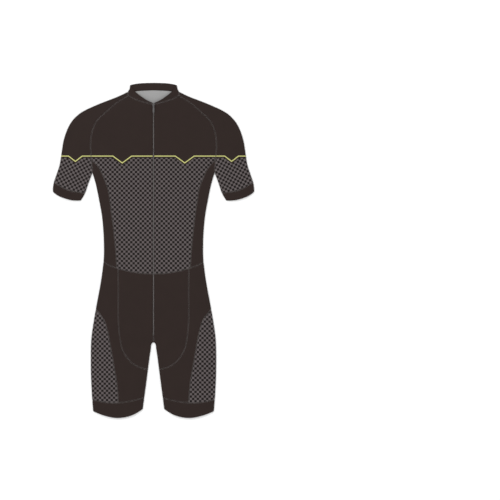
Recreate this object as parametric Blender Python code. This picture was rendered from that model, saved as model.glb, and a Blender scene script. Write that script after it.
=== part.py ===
"""A speed skating suit, laid flat on its back with its front up.

The suit is a one-piece with short raglan sleeves, short legs, a low stand collar and a front zip.
It is drawn here the way its maker cuts it: seam lines and folded edges in plan, then one closed
wall of cloth for each cut piece. X runs to the wearer's left, Y to the neck and Z up.
"""

import math
from collections import namedtuple

import bmesh
import bpy
from mathutils.geometry import delaunay_2d_cdt

# Sizes of the cloth and of how it lies, in metres
CLOTH = 0.0015
FOLD_RADIUS = 0.00225
SEAM_GAP = 0.0003
LOFT = 0.0020
LOFT_REACH = 0.045
NECK_LIFT = 0.0030
NECK_LIFT_REACH = 0.070
NECK_LIFT_LEVEL = 0.478

# How finely the cloth is cut into faces, in metres and in steps round a folded edge
SEAM_STEP = 0.017
STRAIGHT_STEP = 0.0255
CELL = 0.026
CELL_MARGIN = 0.0104
FOLD_STEPS = 6

# The least sine of a turn that counts as a corner of an outline
CORNER_TURN = 0.15

# The zip, its slider and its pull tab, in metres
ZIP_HALF_WIDTH = 0.0025
ZIP_TOP = 0.4702
ZIP_END = -0.270
ZIP_PROUD = 0.0005
SLIDER_LEVEL = 0.4640
SLIDER_SIZE = (0.0072, 0.0110, 0.0022)
BRIDGE_REACH = 0.0031
BRIDGE_HEIGHT = 0.0027
POST_HALF_LENGTH = 0.0012
POST_SINK = 0.0006
BAR_RADIUS = 0.00055
BAR_HALF_LENGTH = 0.0027
EYE_BORE = 0.00090
EYE_RADIUS = 0.00165
EYE_WIDTH = 0.0032
PULL_LENGTH = 0.0230
PULL_THICKNESS = 0.0011
REST_GAP = 0.0003

# The pull tab's blade, from its eye to its end: how far along, what share of its fall to the zip,
# and half its width
Blade = namedtuple("Blade", "reach fall half_width")
BLADE_ROWS = (
    Blade(0.0012, 0.0, 0.0016),
    Blade(0.0050, 0.0, 0.0016),
    Blade(0.0085, 0.25, 0.0030),
    Blade(0.0215, 0.95, 0.0030),
    Blade(PULL_LENGTH, 1.0, 0.0015),
)

MM = 0.001
Point = namedtuple("Point", "out up")

# Places where seams and folded edges meet, in millimetres: out from the centre line, and up from
# the middle of the suit's length
COLLAR_CORNER = Point(74.8, 529)
SHOULDER_FOOT = Point(82.6, 507.2)
NECK_FRONT = Point(80, 495.5)
NECK_BACK = Point(74, 506.3)
COLLAR_END_FOOT = Point(2.5, 469)
COLLAR_END_TOP = Point(2.5, 472.3)
ARMPIT = Point(195.5, 249.5)
PANEL_APEX = Point(198.5, 291)
CUFF_SEAM_OUTER = Point(319.2, 217)
CUFF_SEAM_INNER = Point(219.1, 183.2)
CUFF_OUTER = Point(322, 187)
CUFF_INNER = Point(233, 159.2)
WAIST_SIDE = Point(160, -37)
WAIST_ZIP = Point(2.5, -74.8)
WAIST_BACK_CENTRE = Point(0, -54)
PANEL_WAIST_FRONT = Point(117.2, -56.2)
LOWER_TOP = Point(113.4, -58)
PANEL_WAIST_BACK = Point(135.5, -38.5)
YOKE_END = Point(148.9, -177)
YOKE_CENTRE = Point(0, -151.6)
INSERT_APEX = Point(184.5, -188)
INSEAM_TOP = Point(18, -382)
CROTCH = Point(0, -293.5)
HEM_SEAM_OUTER = Point(195.8, -478)
HEM_SEAM_INNER = Point(29.7, -471)
INSERT_HEM_FRONT = Point(111.9, -487.6)
INSERT_HEM_BACK = Point(95.5, -485.2)
HEM_OUTER = Point(192.8, -515)
HEM_INNER = Point(34.6, -508.5)

# Folded edges, where the cloth turns from the front to the back
SHOULDER_EDGE = (
    COLLAR_CORNER,
    Point(76.5, 517),
    SHOULDER_FOOT,
    Point(113, 492.5),
    Point(178, 467),
    Point(231, 441.5),
    Point(259, 416),
    Point(275, 389),
    Point(287.5, 352),
    Point(294, 313),
    Point(300, 275),
    Point(312, 238),
    CUFF_SEAM_OUTER,
    Point(321.6, 200),
    CUFF_OUTER,
)
SIDE_EDGE = (
    CUFF_INNER,
    CUFF_SEAM_INNER,
    Point(209.6, 211),
    ARMPIT,
    Point(184.3, 211),
    Point(173.8, 160),
    Point(164.6, 108),
    Point(159.3, 45),
    Point(158.5, -10),
    WAIST_SIDE,
    Point(168, -98),
    INSERT_APEX,
    Point(194.8, -250),
    Point(198.9, -285),
    Point(200.4, -320),
    Point(200.2, -390),
    Point(197.4, -455),
    HEM_SEAM_OUTER,
    HEM_OUTER,
)
INNER_LEG_EDGE = (
    HEM_INNER,
    HEM_SEAM_INNER,
    Point(24, -429),
    INSEAM_TOP,
    Point(12.5, -340),
    Point(8.3, -312),
    Point(6.6, -299),
    CROTCH,
)

# Seams across the shoulders and sleeves
RAGLAN_FRONT = (
    NECK_FRONT,
    Point(118, 472),
    Point(150.8, 443.7),
    Point(181.7, 414),
    Point(196.3, 379.8),
    Point(201.6, 338),
    PANEL_APEX,
    ARMPIT,
)
RAGLAN_BACK = (
    NECK_BACK,
    Point(91.5, 488),
    Point(140, 453.2),
    Point(161.5, 436.5),
    Point(180.5, 418),
    Point(197.5, 380),
    Point(203.2, 336),
    PANEL_APEX,
    ARMPIT,
)
CUFF_SEAM = (CUFF_SEAM_INNER, Point(256.2, 188.6), Point(274.8, 193.4), CUFF_SEAM_OUTER)
CUFF_EDGE = (CUFF_INNER, Point(262, 160.7), Point(290, 168.6), Point(308, 176.8), CUFF_OUTER)

# Seams and free edges round the neck
COLLAR_FOOT_FRONT = (COLLAR_END_FOOT, Point(21, 472.2), Point(50.5, 480.8), NECK_FRONT, SHOULDER_FOOT)
COLLAR_FOOT_BACK = (Point(0, 512.2), Point(40, 510.6), Point(58, 508.6), NECK_BACK, SHOULDER_FOOT)
COLLAR_TOP_FRONT = (
    COLLAR_END_TOP,
    Point(13.5, 477.2),
    Point(29, 485.6),
    Point(45, 497.2),
    Point(59.5, 509.3),
    COLLAR_CORNER,
)
COLLAR_TOP_BACK = (Point(0, 536.2), Point(40, 534.9), Point(62, 532), COLLAR_CORNER)

# Seams of the body
PANEL_FRONT = (
    PANEL_APEX,
    Point(173.5, 262.8),
    Point(157.6, 229),
    Point(145.4, 196),
    Point(137.9, 148),
    Point(128.8, 78),
    Point(121.3, 5),
    PANEL_WAIST_FRONT,
)
PANEL_BACK = (
    PANEL_APEX,
    Point(177, 259.4),
    Point(159.3, 225.3),
    Point(143.6, 182),
    Point(134.5, 132),
    Point(131.9, 50),
    PANEL_WAIST_BACK,
)
WAIST_FRONT = (
    WAIST_ZIP,
    Point(43, -72.8),
    Point(80, -66.4),
    LOWER_TOP,
    PANEL_WAIST_FRONT,
    Point(140, -48.2),
    WAIST_SIDE,
)
WAIST_BACK = (WAIST_BACK_CENTRE, Point(66, -50.8), PANEL_WAIST_BACK, WAIST_SIDE)
YOKE_SEAM = (YOKE_CENTRE, Point(84, -160), YOKE_END)

# Seams of the legs
LOWER_FRONT = (
    LOWER_TOP,
    Point(112.5, -140),
    Point(112.7, -222),
    Point(106.4, -288.5),
    Point(98, -320.3),
    Point(76.4, -352.7),
    Point(54.8, -369.2),
    INSEAM_TOP,
)
SEAT_SEAM = (
    PANEL_WAIST_BACK,
    Point(144.1, -95),
    YOKE_END,
    Point(146.9, -229),
    Point(134.8, -285.5),
    Point(114.3, -319.6),
    Point(88.6, -349.1),
    Point(54.7, -369.6),
    INSEAM_TOP,
)
INSERT_FRONT = (
    INSERT_APEX,
    Point(158.5, -222),
    Point(147.4, -258),
    Point(137.4, -308),
    Point(127, -369),
    Point(117.8, -425),
    INSERT_HEM_FRONT,
)
INSERT_BACK = (
    INSERT_APEX,
    Point(167, -222.4),
    Point(148.6, -277.1),
    Point(131.8, -331.4),
    Point(114.5, -393.5),
    INSERT_HEM_BACK,
)
HEM_SEAM_FRONT = (
    HEM_SEAM_INNER,
    Point(68, -481.2),
    INSERT_HEM_FRONT,
    Point(146, -487.2),
    HEM_SEAM_OUTER,
)
HEM_SEAM_BACK = (HEM_SEAM_INNER, Point(60, -479), INSERT_HEM_BACK, Point(146, -486.5), HEM_SEAM_OUTER)
HEM_EDGE = (HEM_INNER, Point(70, -528.2), Point(114, -536.2), Point(156, -529), HEM_OUTER)

# Finishes: name, colour, roughness and metallic value
Finish = namedtuple("Finish", "name colour roughness metallic")
PLAIN_KNIT = Finish("plain_knit", (0.030, 0.024, 0.022), 0.55, 0.0)
CHECKED_KNIT = Finish("checked_knit", (0.069, 0.060, 0.058), 0.55, 0.0)
PRINTED_KNIT = Finish("printed_knit", (0.048, 0.041, 0.040), 0.55, 0.0)
GRIPPER_KNIT = Finish("gripper_knit", (0.026, 0.021, 0.019), 0.60, 0.0)
ZIP_COIL = Finish("zip_coil", (0.095, 0.085, 0.082), 0.45, 0.0)
ZIP_METAL = Finish("zip_metal", (0.060, 0.060, 0.062), 0.35, 0.8)

Edge = namedtuple("Edge", "points kind")
Station = namedtuple("Station", "base lean")


def start_empty():
    """Take the starting objects out of the file."""
    for thing in list(bpy.data.objects):
        bpy.data.objects.remove(thing, do_unlink=True)


def smooth_line(rows):
    """A smooth line through the rows of a table, in metres; every row is one of its points."""
    knots = [(row.out * MM, row.up * MM) for row in rows]
    line = [knots[0]]
    for i in range(len(knots) - 1):
        start, end = knots[i], knots[i + 1]
        before = knots[i - 1] if i else start
        after = knots[i + 2] if i + 2 < len(knots) else end
        length = math.dist(start, end)
        steps = max(1, round(length / SEAM_STEP))
        leave = slope(before, start, end, length)
        arrive = slope(start, end, after, length)
        for k in range(1, steps):
            line.append(between(start, end, leave, arrive, k / steps))
        line.append(end)
    return line


def slope(before, here, after, length):
    """How a smooth line passes a knot, for a stretch of the given length."""
    reach = math.dist(before, here) + math.dist(here, after)
    return tuple((after[a] - before[a]) / reach * length for a in (0, 1))


def between(start, end, leave, arrive, t):
    """A point of the cubic curve from start to end."""
    a = 2 * t**3 - 3 * t**2 + 1
    b = t**3 - 2 * t**2 + t
    c = 3 * t**2 - 2 * t**3
    d = t**3 - t**2
    return tuple(a * start[k] + b * leave[k] + c * end[k] + d * arrive[k] for k in (0, 1))


def sharp_line(*tables):
    """Smooth lines joined end to end, with a corner where they meet."""
    line = []
    for rows in tables:
        part = smooth_line(rows)
        line += part if not line else part[1:]
    return line


def stretch(line, start, end):
    """The part of a line from one of its table's rows to another, either way along."""
    places = [min(range(len(line)), key=lambda i: math.dist(line[i], metres(p))) for p in (start, end)]
    first, last = places
    if first <= last:
        return line[first : last + 1]
    return line[last : first + 1][::-1]


def metres(point):
    """A table's point in metres."""
    return (point.out * MM, point.up * MM)


def mirrored(points):
    """Points on the other side of the centre line, in the opposite order."""
    return [(-x, y) for x, y in reversed(points)]


def outward(start, end):
    """The unit normal on the left of the way from start to end."""
    length = math.dist(start, end)
    return (-(end[1] - start[1]) / length, (end[0] - start[0]) / length)


def fold_stations(line, last_lean=None):
    """The places along a folded edge: where its round starts, and how far out it leans."""
    stations = []
    for i, here in enumerate(line):
        before = outward(line[i - 1], here) if i else outward(here, line[1])
        after = outward(here, line[i + 1]) if i + 1 < len(line) else before
        share = FOLD_RADIUS / (1 + before[0] * after[0] + before[1] * after[1])
        lean = ((before[0] + after[0]) * share, (before[1] + after[1]) * share)
        if last_lean and i + 1 == len(line):
            lean = last_lean
        stations.append(Station((here[0] - lean[0], here[1] - lean[1]), lean))
    return stations


def split_at(rows, corner):
    """A table in two, both with the row at the corner."""
    place = rows.index(corner)
    return rows[: place + 1], rows[place:]


# The folded edges as smooth lines, run so that the outside is on their left
shoulder_line = sharp_line(*(part[::-1] for part in reversed(split_at(SHOULDER_EDGE, SHOULDER_FOOT))))
side_line = sharp_line(*(part[::-1] for part in reversed(split_at(SIDE_EDGE, ARMPIT))))
inner_leg_line = sharp_line(INNER_LEG_EDGE[::-1])
SHOULDER_FOLD = fold_stations(shoulder_line[::-1])
SIDE_FOLD = fold_stations(side_line[::-1])
INNER_LEG_FOLD = fold_stations(inner_leg_line[::-1], (0.0, -FOLD_RADIUS))


def fold_between(stations, start, end):
    """The stations of a folded edge from one place to another."""
    line = [(s.base[0] + s.lean[0], s.base[1] + s.lean[1]) for s in stations]
    part = stretch(line, start, end)
    return [stations[line.index(p)] for p in part]


# Where a seam's end meets a folded edge, it stops where the round starts
FOLD_POINTS = {}
for station in SHOULDER_FOLD + SIDE_FOLD + INNER_LEG_FOLD:
    edge_point = (station.base[0] + station.lean[0], station.base[1] + station.lean[1])
    FOLD_POINTS[tuple(round(v, 6) for v in edge_point)] = station.base


def settled(points):
    """A seam's points, with its ends drawn in from the suit's outline to where a fold starts."""
    return [FOLD_POINTS.get(tuple(round(v, 6) for v in p), p) for p in points]


def seam(rows, start=None, end=None):
    """A seam line, whole or from one named place to another."""
    line = smooth_line(rows)
    return Edge(settled(stretch(line, start or rows[0], end or rows[-1])), "seam")


def free(rows, start=None, end=None):
    """A free edge such as a hem, whole or from one named place to another."""
    return Edge(seam(rows, start, end).points, "free")


def folded(stations, start, end):
    """The stretch of an outline that runs along a folded edge."""
    return Edge([s.base for s in fold_between(stations, start, end)], "fold")


def beside_zip(top, bottom):
    """The straight edge that is sewn to the zip."""
    steps = max(1, round((top - bottom) / STRAIGHT_STEP))
    points = [(ZIP_HALF_WIDTH, top + (bottom - top) * k / steps) for k in range(steps + 1)]
    return Edge(points, "seam")


def other_side(edge):
    """The same edge on the other side of the centre line."""
    return Edge(mirrored(edge.points), edge.kind)


def distance_to_folds(x, y):
    """How far a place is from the nearest folded edge."""
    nearest = 1.0
    for stations in (SHOULDER_FOLD, SIDE_FOLD, INNER_LEG_FOLD):
        for a, b in zip(stations, stations[1:]):
            nearest = min(nearest, distance_to_line((abs(x), y), a.base, b.base))
    return nearest


def distance_to_line(point, start, end):
    """The distance from a point to a straight stretch."""
    along = (end[0] - start[0], end[1] - start[1])
    t = (point[0] - start[0]) * along[0] + (point[1] - start[1]) * along[1]
    t = min(1.0, max(0.0, t / (along[0] ** 2 + along[1] ** 2)))
    return math.dist(point, (start[0] + t * along[0], start[1] + t * along[1]))


def front_height(x, y):
    """How high the front's outer face lies: low at the folds, softly up inside, highest at the neck."""
    inside = min(1.0, distance_to_folds(x, y) / LOFT_REACH)
    rise = inside * inside * (3 - 2 * inside)
    away = math.dist((x, y), (0.0, NECK_LIFT_LEVEL)) / NECK_LIFT_REACH
    return 2 * FOLD_RADIUS + rise * (LOFT + NECK_LIFT * math.exp(-away * away))


class Cloth:
    """A piece of cloth: faces whose corners each have an outer and an inner point."""

    def __init__(self):
        self.outer = []
        self.inner = []
        self.faces = []
        self.places = {}

    def corner(self, outer, inner):
        key = tuple(round(v * 1e6) for v in outer)
        if key not in self.places:
            self.places[key] = len(self.outer)
            self.outer.append(outer)
            self.inner.append(inner)
        return self.places[key]

    def front_corner(self, x, y, proud=0.0):
        z = front_height(x, y)
        return self.corner((x, y, z + proud), (x, y, z - CLOTH))

    def back_corner(self, x, y):
        return self.corner((x, y, 0.0), (x, y, CLOTH))

    def face(self, corners):
        distinct = list(dict.fromkeys(corners))
        if len(distinct) > 2:
            self.faces.append(distinct)

    def flat(self, edges, layer):
        """Fill an outline on the front or the back; returns its trimmed edges, in order."""
        points, spans, insets = [], [], []
        for edge in edges:
            first = len(points)
            points += edge.points[:-1]
            insets += [SEAM_GAP / 2 if edge.kind == "seam" else 0.0] * (len(edge.points) - 1)
            spans.append((first, len(points)))
        trimmed = trim(points, insets)
        fill = cells_inside(trimmed) if layer == "front" else []
        place = self.front_corner if layer == "front" else self.back_corner
        for triangle in triangles(trimmed, fill):
            self.face([place(*p) for p in triangle])
        return [[trimmed[i % len(trimmed)] for i in range(a, b + 1)] for a, b in spans]

    def fold(self, stations, front_points=None, back_points=None):
        """Turn the cloth round a folded edge; with one side's points, only half way."""
        columns = []
        for i, station in enumerate(stations):
            columns.append(self.fold_column(station, front_points, back_points, i))
        for left, right in zip(columns, columns[1:]):
            for k in range(len(left) - 1):
                self.face([left[k], left[k + 1], right[k + 1], right[k]])

    def fold_column(self, station, front_points, back_points, i):
        front = front_points[i] if front_points else None
        back = back_points[i] if back_points else None
        whole = front is not None and back is not None
        first = front or back
        column = [self.front_corner(*front) if front else self.back_corner(*back)]
        inner_share = (FOLD_RADIUS - CLOTH) / FOLD_RADIUS
        for k in range(1, FOLD_STEPS + (0 if whole else 1)):
            share = k / FOLD_STEPS
            if whole:
                x, y = (front[a] + (back[a] - front[a]) * share for a in (0, 1))
                turns = (math.pi * share, math.pi * share)
            else:
                x, y = first
                gap = SEAM_GAP / 2
                turns = tuple(math.acos(gap / r) * share for r in (FOLD_RADIUS, FOLD_RADIUS - CLOTH))
            side = 1 if front else -1
            reach = (math.sin(turns[0]), math.sin(turns[1]) * inner_share)
            rise = (math.cos(turns[0]) * FOLD_RADIUS, math.cos(turns[1]) * (FOLD_RADIUS - CLOTH))
            outer, inner = (
                (x + station.lean[0] * reach[j], y + station.lean[1] * reach[j], FOLD_RADIUS + side * rise[j])
                for j in (0, 1)
            )
            column.append(self.corner(outer, inner))
        if whole:
            column.append(self.back_corner(*back))
        return column

    def build(self, name, finish, side=1):
        """One closed wall of cloth as an object; side -1 is its mirror image."""
        mesh = bpy.data.meshes.new(name)
        shell = bmesh.new()
        outer = [shell.verts.new((x * side, y, z)) for x, y, z in self.outer]
        inner = [shell.verts.new((x * side, y, z)) for x, y, z in self.inner]
        uses = {}
        for corners in self.faces:
            shell.faces.new([outer[i] for i in corners])
            shell.faces.new([inner[i] for i in reversed(corners)])
            for a, b in zip(corners, corners[1:] + corners[:1]):
                uses[frozenset((a, b))] = uses.get(frozenset((a, b)), 0) + 1
        for pair, count in uses.items():
            if count == 1:
                a, b = sorted(pair)
                shell.faces.new((outer[a], outer[b], inner[b], inner[a]))
        bmesh.ops.recalc_face_normals(shell, faces=shell.faces)
        bmesh.ops.triangulate(shell, faces=shell.faces)
        shell.to_mesh(mesh)
        shell.free()
        return finished(name, mesh, finish)


def trim(points, insets):
    """An outline drawn in by each side's own seam allowance."""
    turning = sum(a[0] * b[1] - b[0] * a[1] for a, b in zip(points, points[1:] + points[:1]))
    inward_sign = 1 if turning > 0 else -1
    trimmed = []
    for i, here in enumerate(points):
        before = outward(points[i - 1], here)
        after = outward(here, points[(i + 1) % len(points)])
        drop, rise = insets[i - 1], insets[i]
        cross = before[0] * after[1] - before[1] * after[0]
        if abs(cross) > CORNER_TURN:
            x = (drop * after[1] - rise * before[1]) / cross
            y = (rise * before[0] - drop * after[0]) / cross
        else:
            along = 1 + before[0] * after[0] + before[1] * after[1]
            x, y = ((before[a] + after[a]) / along * (drop + rise) / 2 for a in (0, 1))
        trimmed.append((here[0] + x * inward_sign, here[1] + y * inward_sign))
    return trimmed


def cells_inside(outline):
    """Points on an even lattice inside an outline, clear of its edge."""
    lines = list(zip(outline, outline[1:] + outline[:1]))
    rows = range(round(min(p[1] for p in outline) / CELL), round(max(p[1] for p in outline) / CELL) + 1)
    columns = range(round(min(p[0] for p in outline) / CELL) - 1, round(max(p[0] for p in outline) / CELL) + 2)
    found = []
    for row in rows:
        for column in columns:
            spot = ((column + 0.5 * (row % 2)) * CELL, row * CELL)
            if is_inside(spot, lines) and min(distance_to_line(spot, a, b) for a, b in lines) > CELL_MARGIN:
                found.append(spot)
    return found


def is_inside(spot, lines):
    """Whether a point lies inside a closed outline."""
    inside = False
    for (ax, ay), (bx, by) in lines:
        if (ay > spot[1]) != (by > spot[1]) and spot[0] < ax + (spot[1] - ay) * (bx - ax) / (by - ay):
            inside = not inside
    return inside


def triangles(outline, fill):
    """Triangles over an outline and the points inside it."""
    given = outline + fill
    scaled = [(x / MM, y / MM) for x, y in given]
    result = delaunay_2d_cdt(scaled, [], [list(range(len(outline)))], 1, 1e-5)
    sources, faces = result[3], result[2]
    return [[given[sources[i][0]] for i in face] for face in faces]


def finished(name, mesh, finish):
    """A mesh as a named object with its finish."""
    mesh.shade_smooth()
    mesh.set_sharp_from_angle(angle=math.radians(40))
    thing = bpy.data.objects.new(name, mesh)
    bpy.context.scene.collection.objects.link(thing)
    material = bpy.data.materials.get(finish.name) or new_material(finish)
    mesh.materials.append(material)
    return thing


def new_material(finish):
    """A finish as a Principled material."""
    material = bpy.data.materials.new(finish.name)
    material.use_nodes = True
    shader = material.node_tree.nodes["Principled BSDF"]
    shader.inputs["Base Color"].default_value = (*finish.colour, 1.0)
    shader.inputs["Roughness"].default_value = finish.roughness
    shader.inputs["Metallic"].default_value = finish.metallic
    material.diffuse_color = (*finish.colour, 1.0)
    return material


def on_both_sides(name, finish, cloth):
    """The same cut piece for the wearer's left and right."""
    cloth.build(name + "_left", finish)
    cloth.build(name + "_right", finish, -1)


def make_collar():
    """A low stand: a band behind the neck whose ends taper along the front to the zip's top."""
    cloth = Cloth()
    corner_fold = fold_between(SHOULDER_FOLD, SHOULDER_FOOT, COLLAR_CORNER)
    back_foot, back_top = seam(COLLAR_FOOT_BACK), free(COLLAR_TOP_BACK)
    side = Edge([s.base for s in corner_fold], "fold")
    outline = [
        back_foot,
        side,
        Edge(back_top.points[::-1], "free"),
        Edge(mirrored(back_top.points)[::-1], "free"),
        Edge(mirrored(side.points), "fold"),
        Edge(mirrored(back_foot.points), "seam"),
    ]
    back = cloth.flat(outline, "back")
    for hand in (1, -1):
        end = Edge([metres(COLLAR_END_TOP), metres(COLLAR_END_FOOT)], "seam")
        top = free(COLLAR_TOP_FRONT)
        band = [seam(COLLAR_FOOT_FRONT), side, Edge(top.points[::-1], "free"), end]
        if hand == -1:
            band = [Edge([(-x, y) for x, y in edge.points], edge.kind) for edge in band]
        front = cloth.flat(band, "front")
        back_side = back[1] if hand == 1 else back[4][::-1]
        stations = [Station(s.base, (s.lean[0] * hand, s.lean[1])) for s in corner_fold]
        cloth.fold(stations, front[1], back_side)
    cloth.build("collar", PLAIN_KNIT)


def make_front():
    """The two fronts, from the collar to the waist, with the zip between them."""
    cloth = Cloth()
    cloth.flat(
        [
            beside_zip(COLLAR_END_FOOT.up * MM, WAIST_ZIP.up * MM),
            seam(WAIST_FRONT, WAIST_ZIP, PANEL_WAIST_FRONT),
            seam(PANEL_FRONT, PANEL_WAIST_FRONT, PANEL_APEX),
            seam(RAGLAN_FRONT, PANEL_APEX, NECK_FRONT),
            seam(COLLAR_FOOT_FRONT, NECK_FRONT, COLLAR_END_FOOT),
        ],
        "front",
    )
    on_both_sides("front", PRINTED_KNIT, cloth)


def make_back():
    """The back in one piece, from the collar to the waist."""
    half = [
        seam(WAIST_BACK, WAIST_BACK_CENTRE, PANEL_WAIST_BACK),
        seam(PANEL_BACK, PANEL_WAIST_BACK, PANEL_APEX),
        seam(RAGLAN_BACK, PANEL_APEX, NECK_BACK),
        seam(COLLAR_FOOT_BACK, NECK_BACK, COLLAR_FOOT_BACK[0]),
    ]
    cloth = Cloth()
    cloth.flat(half + [other_side(edge) for edge in reversed(half)], "back")
    cloth.build("back", PRINTED_KNIT)


def make_side_panels():
    """Narrow panels that turn round the side from the front to the back, armpit to waist."""
    cloth = Cloth()
    side = folded(SIDE_FOLD, ARMPIT, WAIST_SIDE)
    front = cloth.flat(
        [
            side,
            seam(WAIST_FRONT, WAIST_SIDE, PANEL_WAIST_FRONT),
            seam(PANEL_FRONT, PANEL_WAIST_FRONT, PANEL_APEX),
            seam(RAGLAN_FRONT, PANEL_APEX, ARMPIT),
        ],
        "front",
    )
    back = cloth.flat(
        [
            side,
            seam(WAIST_BACK, WAIST_SIDE, PANEL_WAIST_BACK),
            seam(PANEL_BACK, PANEL_WAIST_BACK, PANEL_APEX),
            seam(RAGLAN_BACK, PANEL_APEX, ARMPIT),
        ],
        "back",
    )
    cloth.fold(fold_between(SIDE_FOLD, ARMPIT, WAIST_SIDE), front[0], back[0])
    on_both_sides("side_panel", PLAIN_KNIT, cloth)


def make_sleeves():
    """Raglan sleeves: folded along the shoulder and sewn along the underarm."""
    cloth = Cloth()
    shoulder = folded(SHOULDER_FOLD, CUFF_SEAM_OUTER, SHOULDER_FOOT)
    underarm = folded(SIDE_FOLD, ARMPIT, CUFF_SEAM_INNER)
    sides = {}
    for layer, raglan, foot, neck in (
        ("front", RAGLAN_FRONT, COLLAR_FOOT_FRONT, NECK_FRONT),
        ("back", RAGLAN_BACK, COLLAR_FOOT_BACK, NECK_BACK),
    ):
        sides[layer] = cloth.flat(
            [
                shoulder,
                seam(foot, SHOULDER_FOOT, neck),
                seam(raglan, neck, ARMPIT),
                underarm,
                seam(CUFF_SEAM, CUFF_SEAM_INNER, CUFF_SEAM_OUTER),
            ],
            layer,
        )
    shoulder_stations = fold_between(SHOULDER_FOLD, CUFF_SEAM_OUTER, SHOULDER_FOOT)
    cloth.fold(shoulder_stations, sides["front"][0], sides["back"][0])
    underarm_stations = fold_between(SIDE_FOLD, ARMPIT, CUFF_SEAM_INNER)
    cloth.fold(underarm_stations, front_points=sides["front"][3])
    cloth.fold(underarm_stations, back_points=sides["back"][3])
    on_both_sides("sleeve", PRINTED_KNIT, cloth)


def make_band(name, seams, edge, outer_fold, outer_ends, inner_fold, inner_ends):
    """A band sewn round the end of a sleeve or a leg, open at both of its edges."""
    cloth = Cloth()
    sides = []
    for layer, rows in zip(("front", "back"), seams):
        sides.append(
            cloth.flat(
                [
                    folded(outer_fold, *outer_ends),
                    free(edge, edge[-1], edge[0]),
                    folded(inner_fold, *inner_ends),
                    seam(rows, rows[0], rows[-1]),
                ],
                layer,
            )
        )
    cloth.fold(fold_between(outer_fold, *outer_ends), sides[0][0], sides[1][0])
    cloth.fold(fold_between(inner_fold, *inner_ends), sides[0][2], sides[1][2])
    on_both_sides(name, GRIPPER_KNIT, cloth)


def make_cuffs():
    """Bands round the ends of the sleeves."""
    outer_ends = (CUFF_SEAM_OUTER, CUFF_OUTER)
    inner_ends = (CUFF_INNER, CUFF_SEAM_INNER)
    make_band("cuff", (CUFF_SEAM, CUFF_SEAM), CUFF_EDGE, SHOULDER_FOLD, outer_ends, SIDE_FOLD, inner_ends)


def make_hem_bands():
    """Bands round the ends of the legs."""
    seams = (HEM_SEAM_FRONT, HEM_SEAM_BACK)
    outer_ends = (HEM_SEAM_OUTER, HEM_OUTER)
    inner_ends = (HEM_INNER, HEM_SEAM_INNER)
    make_band("hem_band", seams, HEM_EDGE, SIDE_FOLD, outer_ends, INNER_LEG_FOLD, inner_ends)


def make_lower_fronts():
    """The two lower front panels: waist to crotch, and a little way down the inner leg."""
    crotch_fold = folded(INNER_LEG_FOLD, CROTCH, INSEAM_TOP)
    step_in = Edge([(ZIP_HALF_WIDTH, ZIP_END), (0.0, ZIP_END)], "seam")
    cloth = Cloth()
    front = cloth.flat(
        [
            beside_zip(WAIST_ZIP.up * MM, ZIP_END),
            step_in,
            Edge([(0.0, ZIP_END), crotch_fold.points[0]], "seam"),
            crotch_fold,
            seam(LOWER_FRONT, INSEAM_TOP, LOWER_TOP),
            seam(WAIST_FRONT, LOWER_TOP, WAIST_ZIP),
        ],
        "front",
    )
    cloth.fold(fold_between(INNER_LEG_FOLD, CROTCH, INSEAM_TOP), front_points=front[3])
    on_both_sides("lower_front", PLAIN_KNIT, cloth)


def make_waist_yoke():
    """The yoke across the small of the back, arched along its lower edge."""
    half = [
        seam(YOKE_SEAM, YOKE_CENTRE, YOKE_END),
        seam(SEAT_SEAM, YOKE_END, PANEL_WAIST_BACK),
        seam(WAIST_BACK, PANEL_WAIST_BACK, WAIST_BACK_CENTRE),
    ]
    cloth = Cloth()
    cloth.flat(half + [other_side(edge) for edge in reversed(half)], "back")
    cloth.build("waist_yoke", PLAIN_KNIT)


def make_seat():
    """The two seat panels, joined by a seam down the centre of the back."""
    crotch_fold = folded(INNER_LEG_FOLD, CROTCH, INSEAM_TOP)
    cloth = Cloth()
    back = cloth.flat(
        [
            Edge([metres(YOKE_CENTRE), crotch_fold.points[0]], "seam"),
            crotch_fold,
            seam(SEAT_SEAM, INSEAM_TOP, YOKE_END),
            seam(YOKE_SEAM, YOKE_END, YOKE_CENTRE),
        ],
        "back",
    )
    cloth.fold(fold_between(INNER_LEG_FOLD, CROTCH, INSEAM_TOP), back_points=back[1])
    on_both_sides("seat", PLAIN_KNIT, cloth)


def make_legs():
    """Leg panels: round the hip above the thigh insert, and all of the thigh inside it."""
    hip = folded(SIDE_FOLD, WAIST_SIDE, INSERT_APEX)
    inseam = folded(INNER_LEG_FOLD, HEM_SEAM_INNER, INSEAM_TOP)
    cloth = Cloth()
    sides = {}
    for layer, waist, inner, top, insert, hem, notch in (
        ("front", WAIST_FRONT, LOWER_FRONT, LOWER_TOP, INSERT_FRONT, HEM_SEAM_FRONT, INSERT_HEM_FRONT),
        ("back", WAIST_BACK, SEAT_SEAM, PANEL_WAIST_BACK, INSERT_BACK, HEM_SEAM_BACK, INSERT_HEM_BACK),
    ):
        sides[layer] = cloth.flat(
            [
                hip,
                seam(insert, INSERT_APEX, notch),
                seam(hem, notch, HEM_SEAM_INNER),
                inseam,
                seam(inner, INSEAM_TOP, top),
                seam(waist, top, WAIST_SIDE),
            ],
            layer,
        )
    cloth.fold(fold_between(SIDE_FOLD, WAIST_SIDE, INSERT_APEX), sides["front"][0], sides["back"][0])
    inseam_stations = fold_between(INNER_LEG_FOLD, HEM_SEAM_INNER, INSEAM_TOP)
    cloth.fold(inseam_stations, front_points=sides["front"][3])
    cloth.fold(inseam_stations, back_points=sides["back"][3])
    on_both_sides("leg", PLAIN_KNIT, cloth)


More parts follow.
